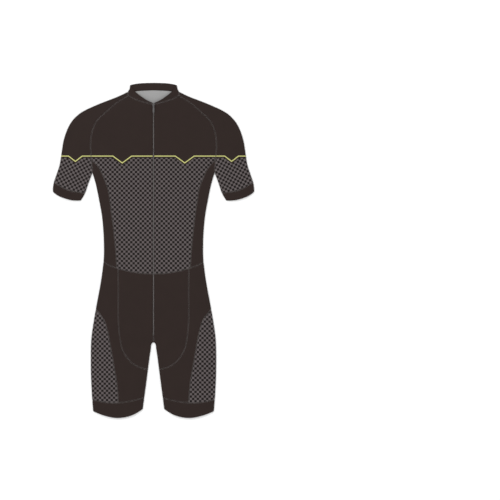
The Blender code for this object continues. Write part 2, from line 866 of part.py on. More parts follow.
def make_thigh_inserts():
    """Long pointed inserts that turn round the outer thigh, widest at the hem."""
    outer = folded(SIDE_FOLD, INSERT_APEX, HEM_SEAM_OUTER)
    cloth = Cloth()
    sides = {}
    for layer, insert, hem, notch in (
        ("front", INSERT_FRONT, HEM_SEAM_FRONT, INSERT_HEM_FRONT),
        ("back", INSERT_BACK, HEM_SEAM_BACK, INSERT_HEM_BACK),
    ):
        sides[layer] = cloth.flat(
            [outer, seam(hem, HEM_SEAM_OUTER, notch), seam(insert, notch, INSERT_APEX)],
            layer,
        )
    stations = fold_between(SIDE_FOLD, INSERT_APEX, HEM_SEAM_OUTER)
    cloth.fold(stations, sides["front"][0], sides["back"][0])
    on_both_sides("thigh_insert", CHECKED_KNIT, cloth)


def make_zip():
    """The closed zip between the fronts: a strip that stands a little proud of the cloth."""
    half = ZIP_HALF_WIDTH - SEAM_GAP / 2
    steps = round((ZIP_TOP - ZIP_END) / STRAIGHT_STEP)
    levels = [ZIP_END + SEAM_GAP / 2 + (ZIP_TOP - ZIP_END) * k / steps for k in range(steps + 1)]
    cloth = Cloth()
    rows = [[cloth.front_corner(x, y, ZIP_PROUD) for x in (-half, half)] for y in levels]
    for low, high in zip(rows, rows[1:]):
        cloth.face([low[0], low[1], high[1], high[0]])
    cloth.build("zip", ZIP_COIL)


def box_between(body, low, high):
    """Add a box's corners and faces to a mesh."""
    made = bmesh.ops.create_cube(body, size=1.0)
    for vert in made["verts"]:
        vert.co = [low[a] + (vert.co[a] + 0.5) * (high[a] - low[a]) for a in range(3)]


def slider_top():
    """The level of the slider's upper face, over the zip."""
    ends = (SLIDER_LEVEL - SLIDER_SIZE[1] / 2, SLIDER_LEVEL + SLIDER_SIZE[1] / 2)
    highest = max(front_height(0.0, y) for y in ends)
    return highest + ZIP_PROUD + REST_GAP + SLIDER_SIZE[2]


def cylinder_along_x(body, radius, half_length, centre, sides=12):
    """Add a round bar along X to a mesh."""
    ring = [(math.cos(2 * math.pi * k / sides), math.sin(2 * math.pi * k / sides)) for k in range(sides)]
    ends = []
    for x in (-half_length, half_length):
        ends.append([body.verts.new((x, centre[1] + radius * c, centre[2] + radius * s)) for c, s in ring])
    for k in range(sides):
        n = (k + 1) % sides
        body.faces.new((ends[0][k], ends[0][n], ends[1][n], ends[1][k]))
    body.faces.new(ends[0][::-1])
    body.faces.new(ends[1])


def solid(name, finish, build):
    """A separate body made by a function that fills a mesh."""
    body = bmesh.new()
    build(body)
    bmesh.ops.recalc_face_normals(body, faces=body.faces)
    mesh = bpy.data.meshes.new(name)
    body.to_mesh(mesh)
    body.free()
    return finished(name, mesh, finish)


def join(thing, tool, operation):
    """Add an exact Boolean to a solid and hide its tool."""
    cut = thing.modifiers.new(operation.lower(), "BOOLEAN")
    cut.operation = operation
    cut.object = tool
    cut.solver = "EXACT"
    tool.hide_render = True
    tool.display_type = "WIRE"


def make_slider():
    """The slider at the zip's top: a plate over the coil, two posts and the bar for the pull tab."""
    top = slider_top()
    width, length, height = SLIDER_SIZE
    axis = (0.0, SLIDER_LEVEL, top + BRIDGE_HEIGHT - BAR_RADIUS)

    def plate(body):
        low = (-width / 2, SLIDER_LEVEL - length / 2, top - height)
        box_between(body, low, (width / 2, SLIDER_LEVEL + length / 2, top))

    def post(side):
        def build(body):
            near, far = sorted((side * (EYE_WIDTH / 2 + REST_GAP), side * BRIDGE_REACH))
            low = (near, SLIDER_LEVEL - POST_HALF_LENGTH, top - POST_SINK)
            high = (far, SLIDER_LEVEL + POST_HALF_LENGTH, top + BRIDGE_HEIGHT)
            box_between(body, low, high)

        return build

    slider = solid("zip_slider", ZIP_METAL, plate)
    for side in (-1, 1):
        join(slider, solid("slider_post_guide", ZIP_METAL, post(side)), "UNION")
    bar = solid(
        "slider_bar_guide",
        ZIP_METAL,
        lambda body: cylinder_along_x(body, BAR_RADIUS, BAR_HALF_LENGTH, axis),
    )
    join(slider, bar, "UNION")
    return axis


def make_pull_tab(axis):
    """The pull tab: an eye round the slider's bar, and a blade that lies down over the zip."""
    anchor = bpy.data.objects.new("pull_tab_hinge", None)
    anchor.location = axis
    bpy.context.scene.collection.objects.link(anchor)
    seat = front_height(0.0, SLIDER_LEVEL - PULL_LENGTH) + ZIP_PROUD + REST_GAP
    drop = axis[2] - seat - PULL_THICKNESS / 2

    def blade(body):
        rings = []
        for row in BLADE_ROWS:
            y, half = -row.reach, row.half_width
            low, high = (half_up - row.fall * drop for half_up in (-PULL_THICKNESS / 2, PULL_THICKNESS / 2))
            corners = ((-half, y, low), (half, y, low), (half, y, high), (-half, y, high))
            rings.append([body.verts.new(c) for c in corners])
        for a, b in zip(rings, rings[1:]):
            for k in range(4):
                n = (k + 1) % 4
                body.faces.new((a[k], a[n], b[n], b[k]))
        body.faces.new(rings[0][::-1])
        body.faces.new(rings[-1])

    centre = (0.0, 0.0, 0.0)
    tab = solid("pull_tab", ZIP_METAL, lambda b: cylinder_along_x(b, EYE_RADIUS, EYE_WIDTH / 2, centre, 16))
    blade_guide = solid("pull_blade_guide", ZIP_METAL, blade)
    bore = solid("pull_bore_guide", ZIP_METAL, lambda b: cylinder_along_x(b, EYE_BORE, EYE_WIDTH, centre, 16))
    for thing in (tab, blade_guide, bore):
        thing.parent = anchor
    join(tab, blade_guide, "UNION")
    join(tab, bore, "DIFFERENCE")


start_empty()
make_collar()
make_front()
make_back()
make_side_panels()
make_sleeves()
make_cuffs()
make_lower_fronts()
make_waist_yoke()
make_seat()
make_legs()
make_thigh_inserts()
make_hem_bands()
make_zip()
make_pull_tab(make_slider())
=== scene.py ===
"""The looks of a speed skating suit that lies flat on its back, with its front up."""

import math
from collections import Counter, namedtuple

import bmesh
import bpy
import numpy as np
from mathutils.geometry import delaunay_2d_cdt
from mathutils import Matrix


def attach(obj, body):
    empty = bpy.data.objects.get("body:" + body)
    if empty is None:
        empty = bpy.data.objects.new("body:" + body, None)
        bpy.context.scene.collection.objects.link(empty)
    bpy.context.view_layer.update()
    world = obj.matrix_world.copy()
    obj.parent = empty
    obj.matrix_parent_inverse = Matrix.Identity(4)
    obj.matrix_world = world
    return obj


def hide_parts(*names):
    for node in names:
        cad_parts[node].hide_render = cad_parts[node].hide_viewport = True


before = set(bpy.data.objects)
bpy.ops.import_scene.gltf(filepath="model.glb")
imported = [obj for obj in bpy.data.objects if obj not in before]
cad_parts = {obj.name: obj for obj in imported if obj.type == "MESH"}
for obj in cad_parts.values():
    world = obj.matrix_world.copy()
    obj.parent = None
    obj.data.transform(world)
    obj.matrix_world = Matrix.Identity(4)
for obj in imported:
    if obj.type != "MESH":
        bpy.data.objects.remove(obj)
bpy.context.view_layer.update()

# Back
# One piece of warp-knit stretch cloth from the collar to the waist, printed on its outer side only,
# so that its grey inner side shows through the neck. It is the piece that the others are sewn to.
MM = 0.001
CLOTH = 0.0015
FOLD_RADIUS = 0.00225
SEAM_GAP = 0.0003
SEAM_STEP = 0.004
FOLD_STEPS = 10
FRONT_CELL = 0.006
BACK_CELL = 0.018
EDGE_RINGS = (0.0005, 0.0016, 0.0032)
RING_CLEAR = 0.85
CELL_CLEAR, WIDEST_CLEAR_CELL = 0.35, 0.008
FOLD_CLEAR = 0.25
CORNER_TURN = 0.15
BATCH = 4000
EDGE_ROLL = 0.00030
EDGE_ROLL_REACH = 0.0005
SEAM_SINK = 0.00035
SEAM_SINK_REACH = 0.0026

Edge = namedtuple("Edge", "points kind stations", defaults=((),))
Station = namedtuple("Station", "base lean")

# Places in millimetres: out from the centre line, and up from the middle of the suit's length
COLLAR_CORNER = (74.8, 529)
SHOULDER_FOOT = (82.6, 507.2)
NECK_FRONT = (80, 495.5)
NECK_BACK = (74, 506.3)
ARMPIT = (195.5, 249.5)
PANEL_APEX = (198.5, 291)
CUFF_SEAM_OUTER = (319.2, 217)
CUFF_SEAM_INNER = (219.1, 183.2)
CUFF_OUTER = (322, 187)
CUFF_INNER = (233, 159.2)
WAIST_SIDE = (160, -37)
WAIST_BACK_CENTRE = (0, -54)
PANEL_WAIST_BACK = (135.5, -38.5)
INSERT_APEX = (184.5, -188)
INSEAM_TOP = (18, -382)
CROTCH = (0, -293.5)
HEM_SEAM_OUTER = (195.8, -478)
HEM_SEAM_INNER = (29.7, -471)
HEM_OUTER = (192.8, -515)
HEM_INNER = (34.6, -508.5)

# The suit's folded outline: collar and shoulder, then underarm and side, then the inner leg
SHOULDER_EDGE = (
    COLLAR_CORNER, (76.5, 517), SHOULDER_FOOT, (113, 492.5), (178, 467), (231, 441.5), (259, 416),
    (275, 389), (287.5, 352), (294, 313), (300, 275), (312, 238), CUFF_SEAM_OUTER, (321.6, 200),
    CUFF_OUTER,
)
SIDE_EDGE = (
    CUFF_INNER, CUFF_SEAM_INNER, (209.6, 211), ARMPIT, (184.3, 211), (173.8, 160), (164.6, 108),
    (159.3, 45), (158.5, -10), WAIST_SIDE, (168, -98), INSERT_APEX, (194.8, -250), (198.9, -285),
    (200.4, -320), (200.2, -390), (197.4, -455), HEM_SEAM_OUTER, HEM_OUTER,
)
INNER_LEG_EDGE = (
    HEM_INNER, HEM_SEAM_INNER, (24, -429), INSEAM_TOP, (12.5, -340), (8.3, -312), (6.6, -299),
    CROTCH,
)

# The back's seams
COLLAR_FOOT_BACK = ((0, 512.2), (40, 510.6), (58, 508.6), NECK_BACK, SHOULDER_FOOT)
RAGLAN_BACK = (
    NECK_BACK, (91.5, 488), (140, 453.2), (161.5, 436.5), (180.5, 418), (197.5, 380), (203.2, 336),
    PANEL_APEX, ARMPIT,
)
PANEL_BACK = (
    PANEL_APEX, (177, 259.4), (159.3, 225.3), (143.6, 182), (134.5, 132), (131.9, 50),
    PANEL_WAIST_BACK,
)
WAIST_BACK = (WAIST_BACK_CENTRE, (66, -50.8), PANEL_WAIST_BACK, WAIST_SIDE)

# How the front layer lies over the back, in metres
LOFT = 0.0020
LOFT_REACH = 0.045
NECK_LIFT = 0.0030
NECK_LIFT_REACH = 0.070
NECK_LIFT_LEVEL = 0.478

# Soft creases that handling leaves, in millimetres: from one end to the other, width and height.
# Each bows a little and fades to its ends.
CREASE_BOW = 0.06
CREASE_FADE, CREASE_END = 2.4, 0.25
Crease = namedtuple("Crease", "from_out from_up to_out to_up width height")
CREASES = (
    Crease(196, 262, 122, 322, 15, 0.75),
    Crease(-194, 258, -134, 334, 17, 0.65),
    Crease(186, 236, 108, 262, 14, -0.55),
    Crease(-186, 232, -96, 248, 15, -0.50),
    Crease(206, 268, 252, 352, 16, 0.60),
    Crease(-208, 264, -262, 336, 15, 0.70),
    Crease(224, 214, 286, 262, 14, -0.50),
    Crease(-222, 216, -290, 250, 13, -0.55),
    Crease(150, 4, 74, -22, 16, 0.60),
    Crease(-152, 18, -62, 2, 18, 0.55),
    Crease(146, -30, 52, -46, 13, -0.50),
    Crease(-150, -8, -88, -38, 14, -0.45),
    Crease(16, -300, 92, -228, 15, 0.65),
    Crease(-14, -300, -84, -242, 16, 0.70),
    Crease(20, -322, 104, -306, 14, -0.50),
    Crease(-18, -326, -110, -296, 15, -0.55),
    Crease(176, -210, 120, -262, 18, 0.45),
    Crease(-182, -232, -128, -300, 17, 0.50),
    Crease(58, -402, 128, -436, 18, 0.45),
    Crease(-70, -392, -150, -420, 19, 0.40),
    Crease(96, 470, 168, 430, 16, 0.50),
    Crease(-92, 474, -176, 424, 15, 0.45),
    Crease(40, 380, 52, 250, 26, 0.35),
    Crease(-58, 400, -46, 280, 24, 0.30),
)


def metres(point):
    """A table's point in metres."""
    return (point[0] * MM, point[1] * MM)


def smooth_line(rows):
    """A smooth line through a table's rows, in metres; every row is one of its points."""
    knots = [metres(row) for row in rows]
    line = [knots[0]]
    for i in range(len(knots) - 1):
        start, end = knots[i], knots[i + 1]
        before = knots[i - 1] if i else start
        after = knots[i + 2] if i + 2 < len(knots) else end
        length = math.dist(start, end)
        steps = max(1, round(length / SEAM_STEP))
        leave = slope(before, start, end, length)
        arrive = slope(start, end, after, length)
        for k in range(1, steps):
            t = k / steps
            shares = (
                2 * t**3 - 3 * t**2 + 1, t**3 - 2 * t**2 + t, 3 * t**2 - 2 * t**3, t**3 - t**2,
            )
            line.append(
                tuple(np.dot(shares, (start[a], leave[a], end[a], arrive[a])) for a in (0, 1))
            )
        line.append(end)
    return line


def slope(before, here, after, length):
    """How a smooth line passes a knot, for a stretch of the given length."""
    reach = math.dist(before, here) + math.dist(here, after)
    return tuple((after[a] - before[a]) / reach * length for a in (0, 1))


def outward(start, end):
    """The unit normal on the left of the way from start to end."""
    length = math.dist(start, end)
    return (-(end[1] - start[1]) / length, (end[0] - start[0]) / length)


def fold_stations(rows, corner=None, last_lean=None):
    """Places along a folded edge: where its round starts, and how far out it leans."""
    if corner:
        place = rows.index(corner)
        line = smooth_line(rows[: place + 1]) + smooth_line(rows[place:])[1:]
    else:
        line = smooth_line(rows)
    stations = []
    for i, here in enumerate(line):
        before = outward(line[i - 1], here) if i else outward(here, line[1])
        after = outward(here, line[i + 1]) if i + 1 < len(line) else before
        share = FOLD_RADIUS / (1 + before[0] * after[0] + before[1] * after[1])
        lean = ((before[0] + after[0]) * share, (before[1] + after[1]) * share)
        if last_lean and i + 1 == len(line):
            lean = last_lean
        stations.append(Station((here[0] - lean[0], here[1] - lean[1]), lean))
    return stations


SHOULDER_FOLD = fold_stations(SHOULDER_EDGE, SHOULDER_FOOT)
SIDE_FOLD = fold_stations(SIDE_EDGE, ARMPIT)
INNER_LEG_FOLD = fold_stations(INNER_LEG_EDGE, last_lean=(0.0, -FOLD_RADIUS))


def on_outline(station):
    """The outermost point of a folded edge at a station."""
    return (station.base[0] + station.lean[0], station.base[1] + station.lean[1])


def nearest(line, point):
    """The place in a line that is nearest to a table's point."""
    return min(range(len(line)), key=lambda i: math.dist(line[i], metres(point)))


def stretch(things, line, start, end):
    """The things along a line from one place to another, either way."""
    first, last = nearest(line, start), nearest(line, end)
    return things[first : last + 1] if first <= last else things[last : first + 1][::-1]


def fold_between(stations, start, end):
    """The stations of a folded edge from one place to another."""
    return stretch(stations, [on_outline(s) for s in stations], start, end)


def rounded(point):
    """A point's values, rounded so that the same place is found again."""
    return tuple(round(value, 6) for value in point)


FOLDS = (SHOULDER_FOLD, SIDE_FOLD, INNER_LEG_FOLD)
FOLD_POINTS = {rounded(on_outline(station)): station.base for fold in FOLDS for station in fold}


def seam(rows, start=None, end=None, kind="seam"):
    """A seam line, whole or between two named places; its ends stop where a fold starts."""
    line = smooth_line(rows)
    part = stretch(line, line, start or rows[0], end or rows[-1])
    for place in (0, -1):
        tip = part[place]
        base = FOLD_POINTS.get(rounded(tip))
        if base:
            clear = math.dist(tip, base) + FOLD_CLEAR * SEAM_STEP
            part = [p for p in part if p == tip or math.dist(p, tip) > clear]
            part[place] = base
    return Edge(part, kind)


def folded(stations, start, end, kind="fold"):
    """The stretch of an outline that runs along a folded edge."""
    part = fold_between(stations, start, end)
    return Edge([station.base for station in part], kind, part)


def straight(start, end, kind="seam"):
    """A straight edge from one place to another, in metres."""
    steps = max(1, round(math.dist(start, end) / SEAM_STEP))
    along = range(steps + 1)
    points = [tuple(start[a] + (end[a] - start[a]) * k / steps for a in (0, 1)) for k in along]
    return Edge(points, kind)


def other_side(edge):
    """The same edge on the other side of the centre line."""
    return Edge([(-x, y) for x, y in reversed(edge.points)], edge.kind)


def distances(points, starts, ends):
    """How far each point is from the nearest of some straight stretches."""
    along = ends - starts
    size = np.maximum((along**2).sum(1), 1e-14)
    best = np.full(len(points), 1.0)
    for first in range(0, len(points), BATCH):
        some = points[first : first + BATCH, None]
        t = np.clip(((some - starts) * along).sum(2) / size, 0, 1)
        gap = some - starts - t[..., None] * along
        best[first : first + BATCH] = np.sqrt((gap**2).sum(2).min(1))
    return best


fold_lines = [np.array([station.base for station in fold]) for fold in FOLDS]
FOLD_STARTS = np.concatenate([line[:-1] for line in fold_lines])
FOLD_ENDS = np.concatenate([line[1:] for line in fold_lines])


def eased(share):
    """A share from 0 to 1 that starts and ends gently."""
    return share * share * (3 - 2 * share)


def front_face(points, hand=1):
    """How high the front's outer face lies: low at the folds, soft inside, highest at the neck."""
    points = np.asarray(points, float).reshape(-1, 2)
    mirrored = np.abs(points * (1, 0)) + points * (0, 1)
    inside = np.minimum(1.0, distances(mirrored, FOLD_STARTS, FOLD_ENDS) / LOFT_REACH)
    away = np.hypot(points[:, 0], points[:, 1] - NECK_LIFT_LEVEL) / NECK_LIFT_REACH
    height = LOFT + NECK_LIFT * np.exp(-away * away)
    for crease in CREASES:
        height = height + crease_height(points * (hand, 1), crease)
    return 2 * FOLD_RADIUS + eased(inside) * height


def crease_height(points, crease):
    """One soft ridge or trough, fading to its ends."""
    start = np.array((crease.from_out, crease.from_up)) * MM
    along = np.array((crease.to_out, crease.to_up)) * MM - start
    length = np.linalg.norm(along)
    t = ((points - start) @ along) / length**2
    across = ((points - start) @ np.array((-along[1], along[0]))) / length
    bend = across + CREASE_BOW * length * np.sin(math.pi * np.clip(t, 0, 1))
    fade = np.clip(np.minimum(t, 1 - t) * CREASE_FADE + CREASE_END, 0, 1)
    return crease.height * MM * eased(fade) * np.exp(-((bend / (crease.width * MM)) ** 2))


def turning(points):
    """Twice an outline's area, and less than nothing where it runs clockwise."""
    return sum(a[0] * b[1] - b[0] * a[1] for a, b in zip(points, points[1:] + points[:1]))


def trim(points, insets):
    """An outline drawn in by each side's own allowance."""
    inward_sign = 1 if turning(points) > 0 else -1
    trimmed = []
    for i, here in enumerate(points):
        before = outward(points[i - 1], here)
        after = outward(here, points[(i + 1) % len(points)])
        drop, rise = insets[i - 1], insets[i]
        cross = before[0] * after[1] - before[1] * after[0]
        if abs(cross) > CORNER_TURN:
            x = (drop * after[1] - rise * before[1]) / cross
            y = (rise * before[0] - drop * after[0]) / cross
        else:
            along = 1 + before[0] * after[0] + before[1] * after[1]
            x, y = ((before[a] + after[a]) / along * (drop + rise) / 2 for a in (0, 1))
        trimmed.append((here[0] + x * inward_sign, here[1] + y * inward_sign))
    return trimmed


def inside_outline(spots, starts, ends):
    """Which spots lie inside a closed outline."""
    x, y = spots[:, 0, None], spots[:, 1, None]
    crosses = (starts[:, 1] > y) != (ends[:, 1] > y)
    rise = np.where(ends[:, 1] == starts[:, 1], 1.0, ends[:, 1] - starts[:, 1])
    meets = starts[:, 0] + (y - starts[:, 1]) * (ends[:, 0] - starts[:, 0]) / rise
    return ((crosses & (x < meets)).sum(1) % 2) == 1


def fill_points(outline, ringed, cell):
    """Points inside an outline: rings close to its unfolded edges, then an even lattice."""
    starts, ends = np.array(outline), np.array(outline[1:] + outline[:1])
    found = []
    for ring in EDGE_RINGS:
        drawn = np.array(trim(outline, [ring if has_ring else 0.0 for has_ring in ringed]))
        gaps = distances(drawn, starts, ends)
        clear = inside_outline(drawn, starts, ends) & (gaps > RING_CLEAR * ring)
        found.append(drawn[clear])
    low, high = starts.min(0), starts.max(0)
    across = np.arange(low[0] - cell, high[0] + cell, cell)
    rows = np.arange(math.floor(low[1] / cell), math.ceil(high[1] / cell) + 1)
    lattice = np.array([(x + 0.5 * cell * (row % 2), row * cell) for row in rows for x in across])
    lattice = lattice[inside_outline(lattice, starts, ends)]
    gap = max(EDGE_RINGS) + CELL_CLEAR * min(cell, WIDEST_CLEAR_CELL)
    found.append(lattice[distances(lattice, starts, ends) > gap])
    return np.concatenate(found)


def placed(name, mesh, material=None):
    """A mesh as an object of the scene, in its finish."""
    thing = bpy.data.objects.new(name, mesh)
    bpy.context.scene.collection.objects.link(thing)
    if material:
        mesh.materials.append(material)
    return thing


def edge_drop(spots, edges):
    """How far the cloth rolls down at its edges and sinks under the stitches of its seams."""
    drop = np.zeros(len(spots))
    for kind, depth, reach in (
        ("free", EDGE_ROLL, EDGE_ROLL_REACH),
        ("seam", EDGE_ROLL, EDGE_ROLL_REACH),
        ("seam", SEAM_SINK, SEAM_SINK_REACH),
    ):
        lines = [np.array(edge.points) for edge in edges if edge.kind == kind]
        if lines:
            starts = np.concatenate([line[:-1] for line in lines])
            ends = np.concatenate([line[1:] for line in lines])
            away = distances(spots, starts, ends) / reach
            drop += depth * np.exp(-away * away)
    return drop


class Cloth:
    """A cut piece as a thin wall: each corner has an outer and an inner point and a flat place."""

    def __init__(self, hand=1):
        self.hand = hand
        self.outer, self.inner, self.cut, self.faces = [], [], [], []
        self.places, self.drops = {}, {}
        self.area = 0.0

    def corner(self, key, outer, inner, cut):
        if key not in self.places:
            self.places[key] = len(self.outer)
            self.outer.append(outer)
            self.inner.append(inner)
            self.cut.append(cut)
        return self.places[key]

    def wrap(self, **outlines):
        """Fill the outline of each layer, and turn the cloth round their folded edges."""
        sides = {layer: self.flat(edges, layer) for layer, edges in outlines.items()}
        for layer, edges in outlines.items():
            for place, edge in enumerate(edges):
                if edge.kind == "sewn fold":
                    self.fold(edge.stations, **{layer: sides[layer][place]})
                elif edge.kind == "fold" and layer == "front":
                    self.fold(edge.stations, sides["front"][place], sides["back"][place])
        return self

    def flat(self, edges, layer):
        """Fill an outline on the front or the back; returns its trimmed edges, in order."""
        points, spans, insets, ringed = [], [], [], []
        for edge in edges:
            first, count = len(points), len(edge.points) - 1
            points += edge.points[:-1]
            insets += [SEAM_GAP / 2 if edge.kind == "seam" else 0.0] * count
            ringed += ["fold" not in edge.kind] * count
            spans.append((first, first + count))
        trimmed = trim(points, insets)
        fill = fill_points(trimmed, ringed, FRONT_CELL if layer == "front" else BACK_CELL)
        spots = np.concatenate([np.array(trimmed), fill])
        drop = edge_drop(spots, edges)
        if layer == "front":
            face = front_face(spots, self.hand)
            heights, under = face - drop, face - CLOTH
        else:
            heights, under = drop, np.full(len(spots), CLOTH)
        scaled = [tuple(p) for p in spots / MM]
        result = delaunay_2d_cdt(scaled, [], [list(range(len(trimmed)))], 1, 1e-5)
        indices = []
        for sources in result[3]:
            i = sources[0]
            x, y = float(spots[i][0]), float(spots[i][1])
            key = (layer, *rounded((x, y)))
            indices.append(self.corner(key, (x, y, heights[i]), (x, y, under[i]), (x, y)))
        self.faces += [[indices[i] for i in face] for face in result[2]]
        self.area += abs(turning(trimmed)) / 2
        self.drops.update(((layer, *rounded(p)), d) for p, d in zip(trimmed, drop))
        return [[trimmed[i % len(trimmed)] for i in range(a, b + 1)] for a, b in spans]

    def fold(self, stations, front=None, back=None):
        """Turn the cloth round a folded edge; with one side's points, only half way."""
        bases, is_whole = front or back, bool(front and back)
        if is_whole:
            columns = [self.whole_column(*things) for things in zip(stations, front, back)]
        else:
            layer = "front" if front else "back"
            columns = [self.half_column(s, p, layer) for s, p in zip(stations, bases)]
        for left, right in zip(columns, columns[1:]):
            for k in range(len(left) - 1):
                corners = list(dict.fromkeys((left[k], left[k + 1], right[k + 1], right[k])))
                if len(corners) > 2:
                    self.faces.append(corners)
        length = sum(math.dist(a, b) for a, b in zip(bases, bases[1:]))
        self.area += math.pi * FOLD_RADIUS * length * (1.0 if is_whole else 0.5)

    def at(self, layer, point):
        """The corner and the edge drop of a point that a flat part already has."""
        key = (layer, *rounded(point))
        return self.places[key], self.drops[key]

    def whole_column(self, station, front, back):
        """Corners across a fold, from the front's edge to the back's."""
        (top, top_drop), (under, under_drop) = self.at("front", front), self.at("back", back)
        column = [top]
        for k in range(1, FOLD_STEPS):
            share = k / FOLD_STEPS
            base = tuple(front[a] + (back[a] - front[a]) * share for a in (0, 1))
            drop = top_drop + (under_drop - top_drop) * share
            column.append(self.round_corner(station, base, (math.pi * share,) * 2, 1, drop))
        return column + [under]

    def half_column(self, station, point, layer):
        """Corners from one layer's edge to the seam along the middle of a fold."""
        start, drop = self.at(layer, point)
        column = [start]
        half_steps = FOLD_STEPS // 2
        for k in range(1, half_steps + 1):
            share = k / half_steps
            turns = [
                math.acos(SEAM_GAP / 2 / r) * share for r in (FOLD_RADIUS, FOLD_RADIUS - CLOTH)
            ]
            sink = drop + EDGE_ROLL * (1.0 if k == half_steps else 0.0)
            face = 1 if layer == "front" else -1
            column.append(self.round_corner(station, point, turns, face, sink))
        return column

    def round_corner(self, station, base, turns, side, drop):
        """A corner on the round of a fold, turned from the front's top or the back's underside."""
        outer, inner = (
            (
                base[0] + station.lean[0] * math.sin(turn) * radius / FOLD_RADIUS,
                base[1] + station.lean[1] * math.sin(turn) * radius / FOLD_RADIUS,
                FOLD_RADIUS + side * math.cos(turn) * radius,
            )
            for turn, radius in zip(turns, (FOLD_RADIUS - drop, FOLD_RADIUS - CLOTH))
        )
        reach = min(turns[0], math.pi - turns[0])
        cut = (base[0] + station.lean[0] * reach, base[1] + station.lean[1] * reach)
        return self.corner(("fold", *rounded(outer)), outer, inner, cut)

    def build(self, name, material):
        """The wall as a mesh object; a right-hand piece is the mirror image of a left-hand one."""
        count = len(self.outer)
        points = [(x * self.hand, y, z) for x, y, z in self.outer + self.inner]
        faces = self.faces + [[i + count for i in reversed(face)] for face in self.faces]
        pairs = (pair for face in self.faces for pair in zip(face, face[1:] + face[:1]))
        uses = Counter((min(pair), max(pair)) for pair in pairs)
        faces += [[a, b, b + count, a + count] for (a, b), n in uses.items() if n == 1]
        mesh = bpy.data.meshes.new(name)
        mesh.from_pydata(points, [], faces)
        body = bmesh.new()
        body.from_mesh(mesh)
        bmesh.ops.recalc_face_normals(body, faces=body.faces)
        body.to_mesh(mesh)
        body.free()
        marks = mesh.attributes.new("cut", "FLOAT_VECTOR", "POINT")
        places = [(x * self.hand, y, is_inner) for is_inner in (0.0, 1.0) for x, y in self.cut]
        marks.data.foreach_set("vector", np.array(places, np.float32).ravel())
        mesh.shade_smooth()
        mesh.set_sharp_from_angle(angle=math.radians(55))
        return placed(name, mesh, material)


# Finishes of the knit: its near-black ground, the two greys of the checks, the lime stripe and the
# unprinted inner side
GROUND = (0.0200, 0.0120, 0.0100, 1.0)
CHECK_DARK = (0.0060, 0.0035, 0.0032, 1.0)
CHECK_GREY = (0.0970, 0.0820, 0.0820, 1.0)
LIME = (0.4700, 0.4700, 0.1700, 1.0)
UNPRINTED = (0.2900, 0.2880, 0.2860, 1.0)
WALE = 0.0011
COURSE = 0.0009
STITCH_DEPTH = 0.00016
PATCH_SCALE, PATCH_TONE = 26.0, 0.16
FIBRE_SCALE, FIBRE_TONE = 900.0, 0.40
# How much darker the colour is painted in the grooves between the stitches, and lighter on their
# ridges: painted shade
RIB_GROOVE_SHADE = 0.16
CHECK = 0.00749
BODY_CHECK = (0.00387, 0.00383)
SLEEVE_CHECK = (0.00462, 0.00216)
SLEEVE_TURN = math.radians(15)
STRIPE_LEVEL = 0.3020
STRIPE_HALF = 0.0016
STRIPE_MARGIN = 0.0055
Chevron = namedtuple("Chevron", "centre half_width drop")


def new_finish(name, settings):
    """A new material with its shader set; returns it, its node tree and its shader's inputs."""
    material = bpy.data.materials.new(name)
    material.use_nodes = True
    surface = material.node_tree.nodes["Principled BSDF"].inputs
    for label, value in settings.items():
        surface[label].default_value = value
    return material, material.node_tree, surface


def feed(tree, socket, source):
    """Give a socket another node's result or a plain value."""
    if isinstance(source, bpy.types.NodeSocket):
        tree.links.new(source, socket)
    elif source is not None:
        socket.default_value = source


def add_node(tree, kind, *sources, inputs={}, **settings):
    """Add a node, set its options, feed its inputs by place or name; returns its first output."""
    made = tree.nodes.new(kind)
    for name, value in settings.items():
        setattr(made, name, value)
    for place, source in [*enumerate(sources), *inputs.items()]:
        feed(tree, made.inputs[place], source)
    return made.outputs[0]


def maths(tree, operation, *sources):
    """A Math node's result."""
    return add_node(tree, "ShaderNodeMath", *sources, operation=operation)


def mixed(tree, share, first, second, blend="MIX"):
    """Two colours mixed, or multiplied."""
    made = tree.nodes.new("ShaderNodeMix")
    made.data_type, made.blend_type = "RGBA", blend
    for place, source in ((0, share), (6, first), (7, second)):
        feed(tree, made.inputs[place], source)
    return made.outputs[2]


def noise(tree, place, scale, detail=2.0):
    """Uneven tone, the same each run."""
    inputs = {"Vector": place, "Scale": scale, "Detail": detail}
    return add_node(tree, "ShaderNodeTexNoise", inputs=inputs).node.outputs["Fac"]


def knit(name, lining=UNPRINTED, paint=None, roughness=0.62):
    """Stretch knit: V-shaped stitches in fine ribs, painted shade in their grooves, slightly uneven
    tone, soft sheen.
    """
    shine = {"Roughness": roughness, "Specular IOR Level": 0.12}
    sheen = {"Sheen Weight": 0.03, "Sheen Roughness": 0.40}
    material, tree, surface = new_finish(name, shine | sheen)
    cut = add_node(tree, "ShaderNodeAttribute", attribute_name="cut").node.outputs["Vector"]
    x, y, inner_side = add_node(tree, "ShaderNodeSeparateXYZ", cut).node.outputs
    colour = mixed(tree, inner_side, paint(tree, x, y) if paint else GROUND, lining)
    rib = maths(tree, "MULTIPLY", maths(tree, "PINGPONG", maths(tree, "DIVIDE", x, WALE), 0.5), 2.0)
    row = maths(tree, "MULTIPLY_ADD", rib, 0.5, maths(tree, "DIVIDE", y, COURSE))
    loop = maths(tree, "SINE", maths(tree, "MULTIPLY", row, 2 * math.pi))
    height = maths(tree, "MULTIPLY_ADD", loop, 0.30, rib)
    patches = noise(tree, cut, PATCH_SCALE, 3.0)
    tone = maths(tree, "MULTIPLY_ADD", patches, PATCH_TONE, 1.0 - PATCH_TONE)
    # Painted shade: the colour is darker in the grooves of the knit and lighter on its stitch
    # ridges
    tone = maths(tree, "MULTIPLY_ADD", height, RIB_GROOVE_SHADE, tone)
    fibres = maths(tree, "SUBTRACT", noise(tree, cut, FIBRE_SCALE), 0.5)
    tone = maths(tree, "MULTIPLY_ADD", fibres, FIBRE_TONE, tone)
    feed(tree, surface["Base Color"], mixed(tree, 1.0, colour, tone, "MULTIPLY"))
    relief = {"Strength": 0.5, "Distance": STITCH_DEPTH, "Height": height}
    feed(tree, surface["Normal"], add_node(tree, "ShaderNodeBump", inputs=relief))
    return material


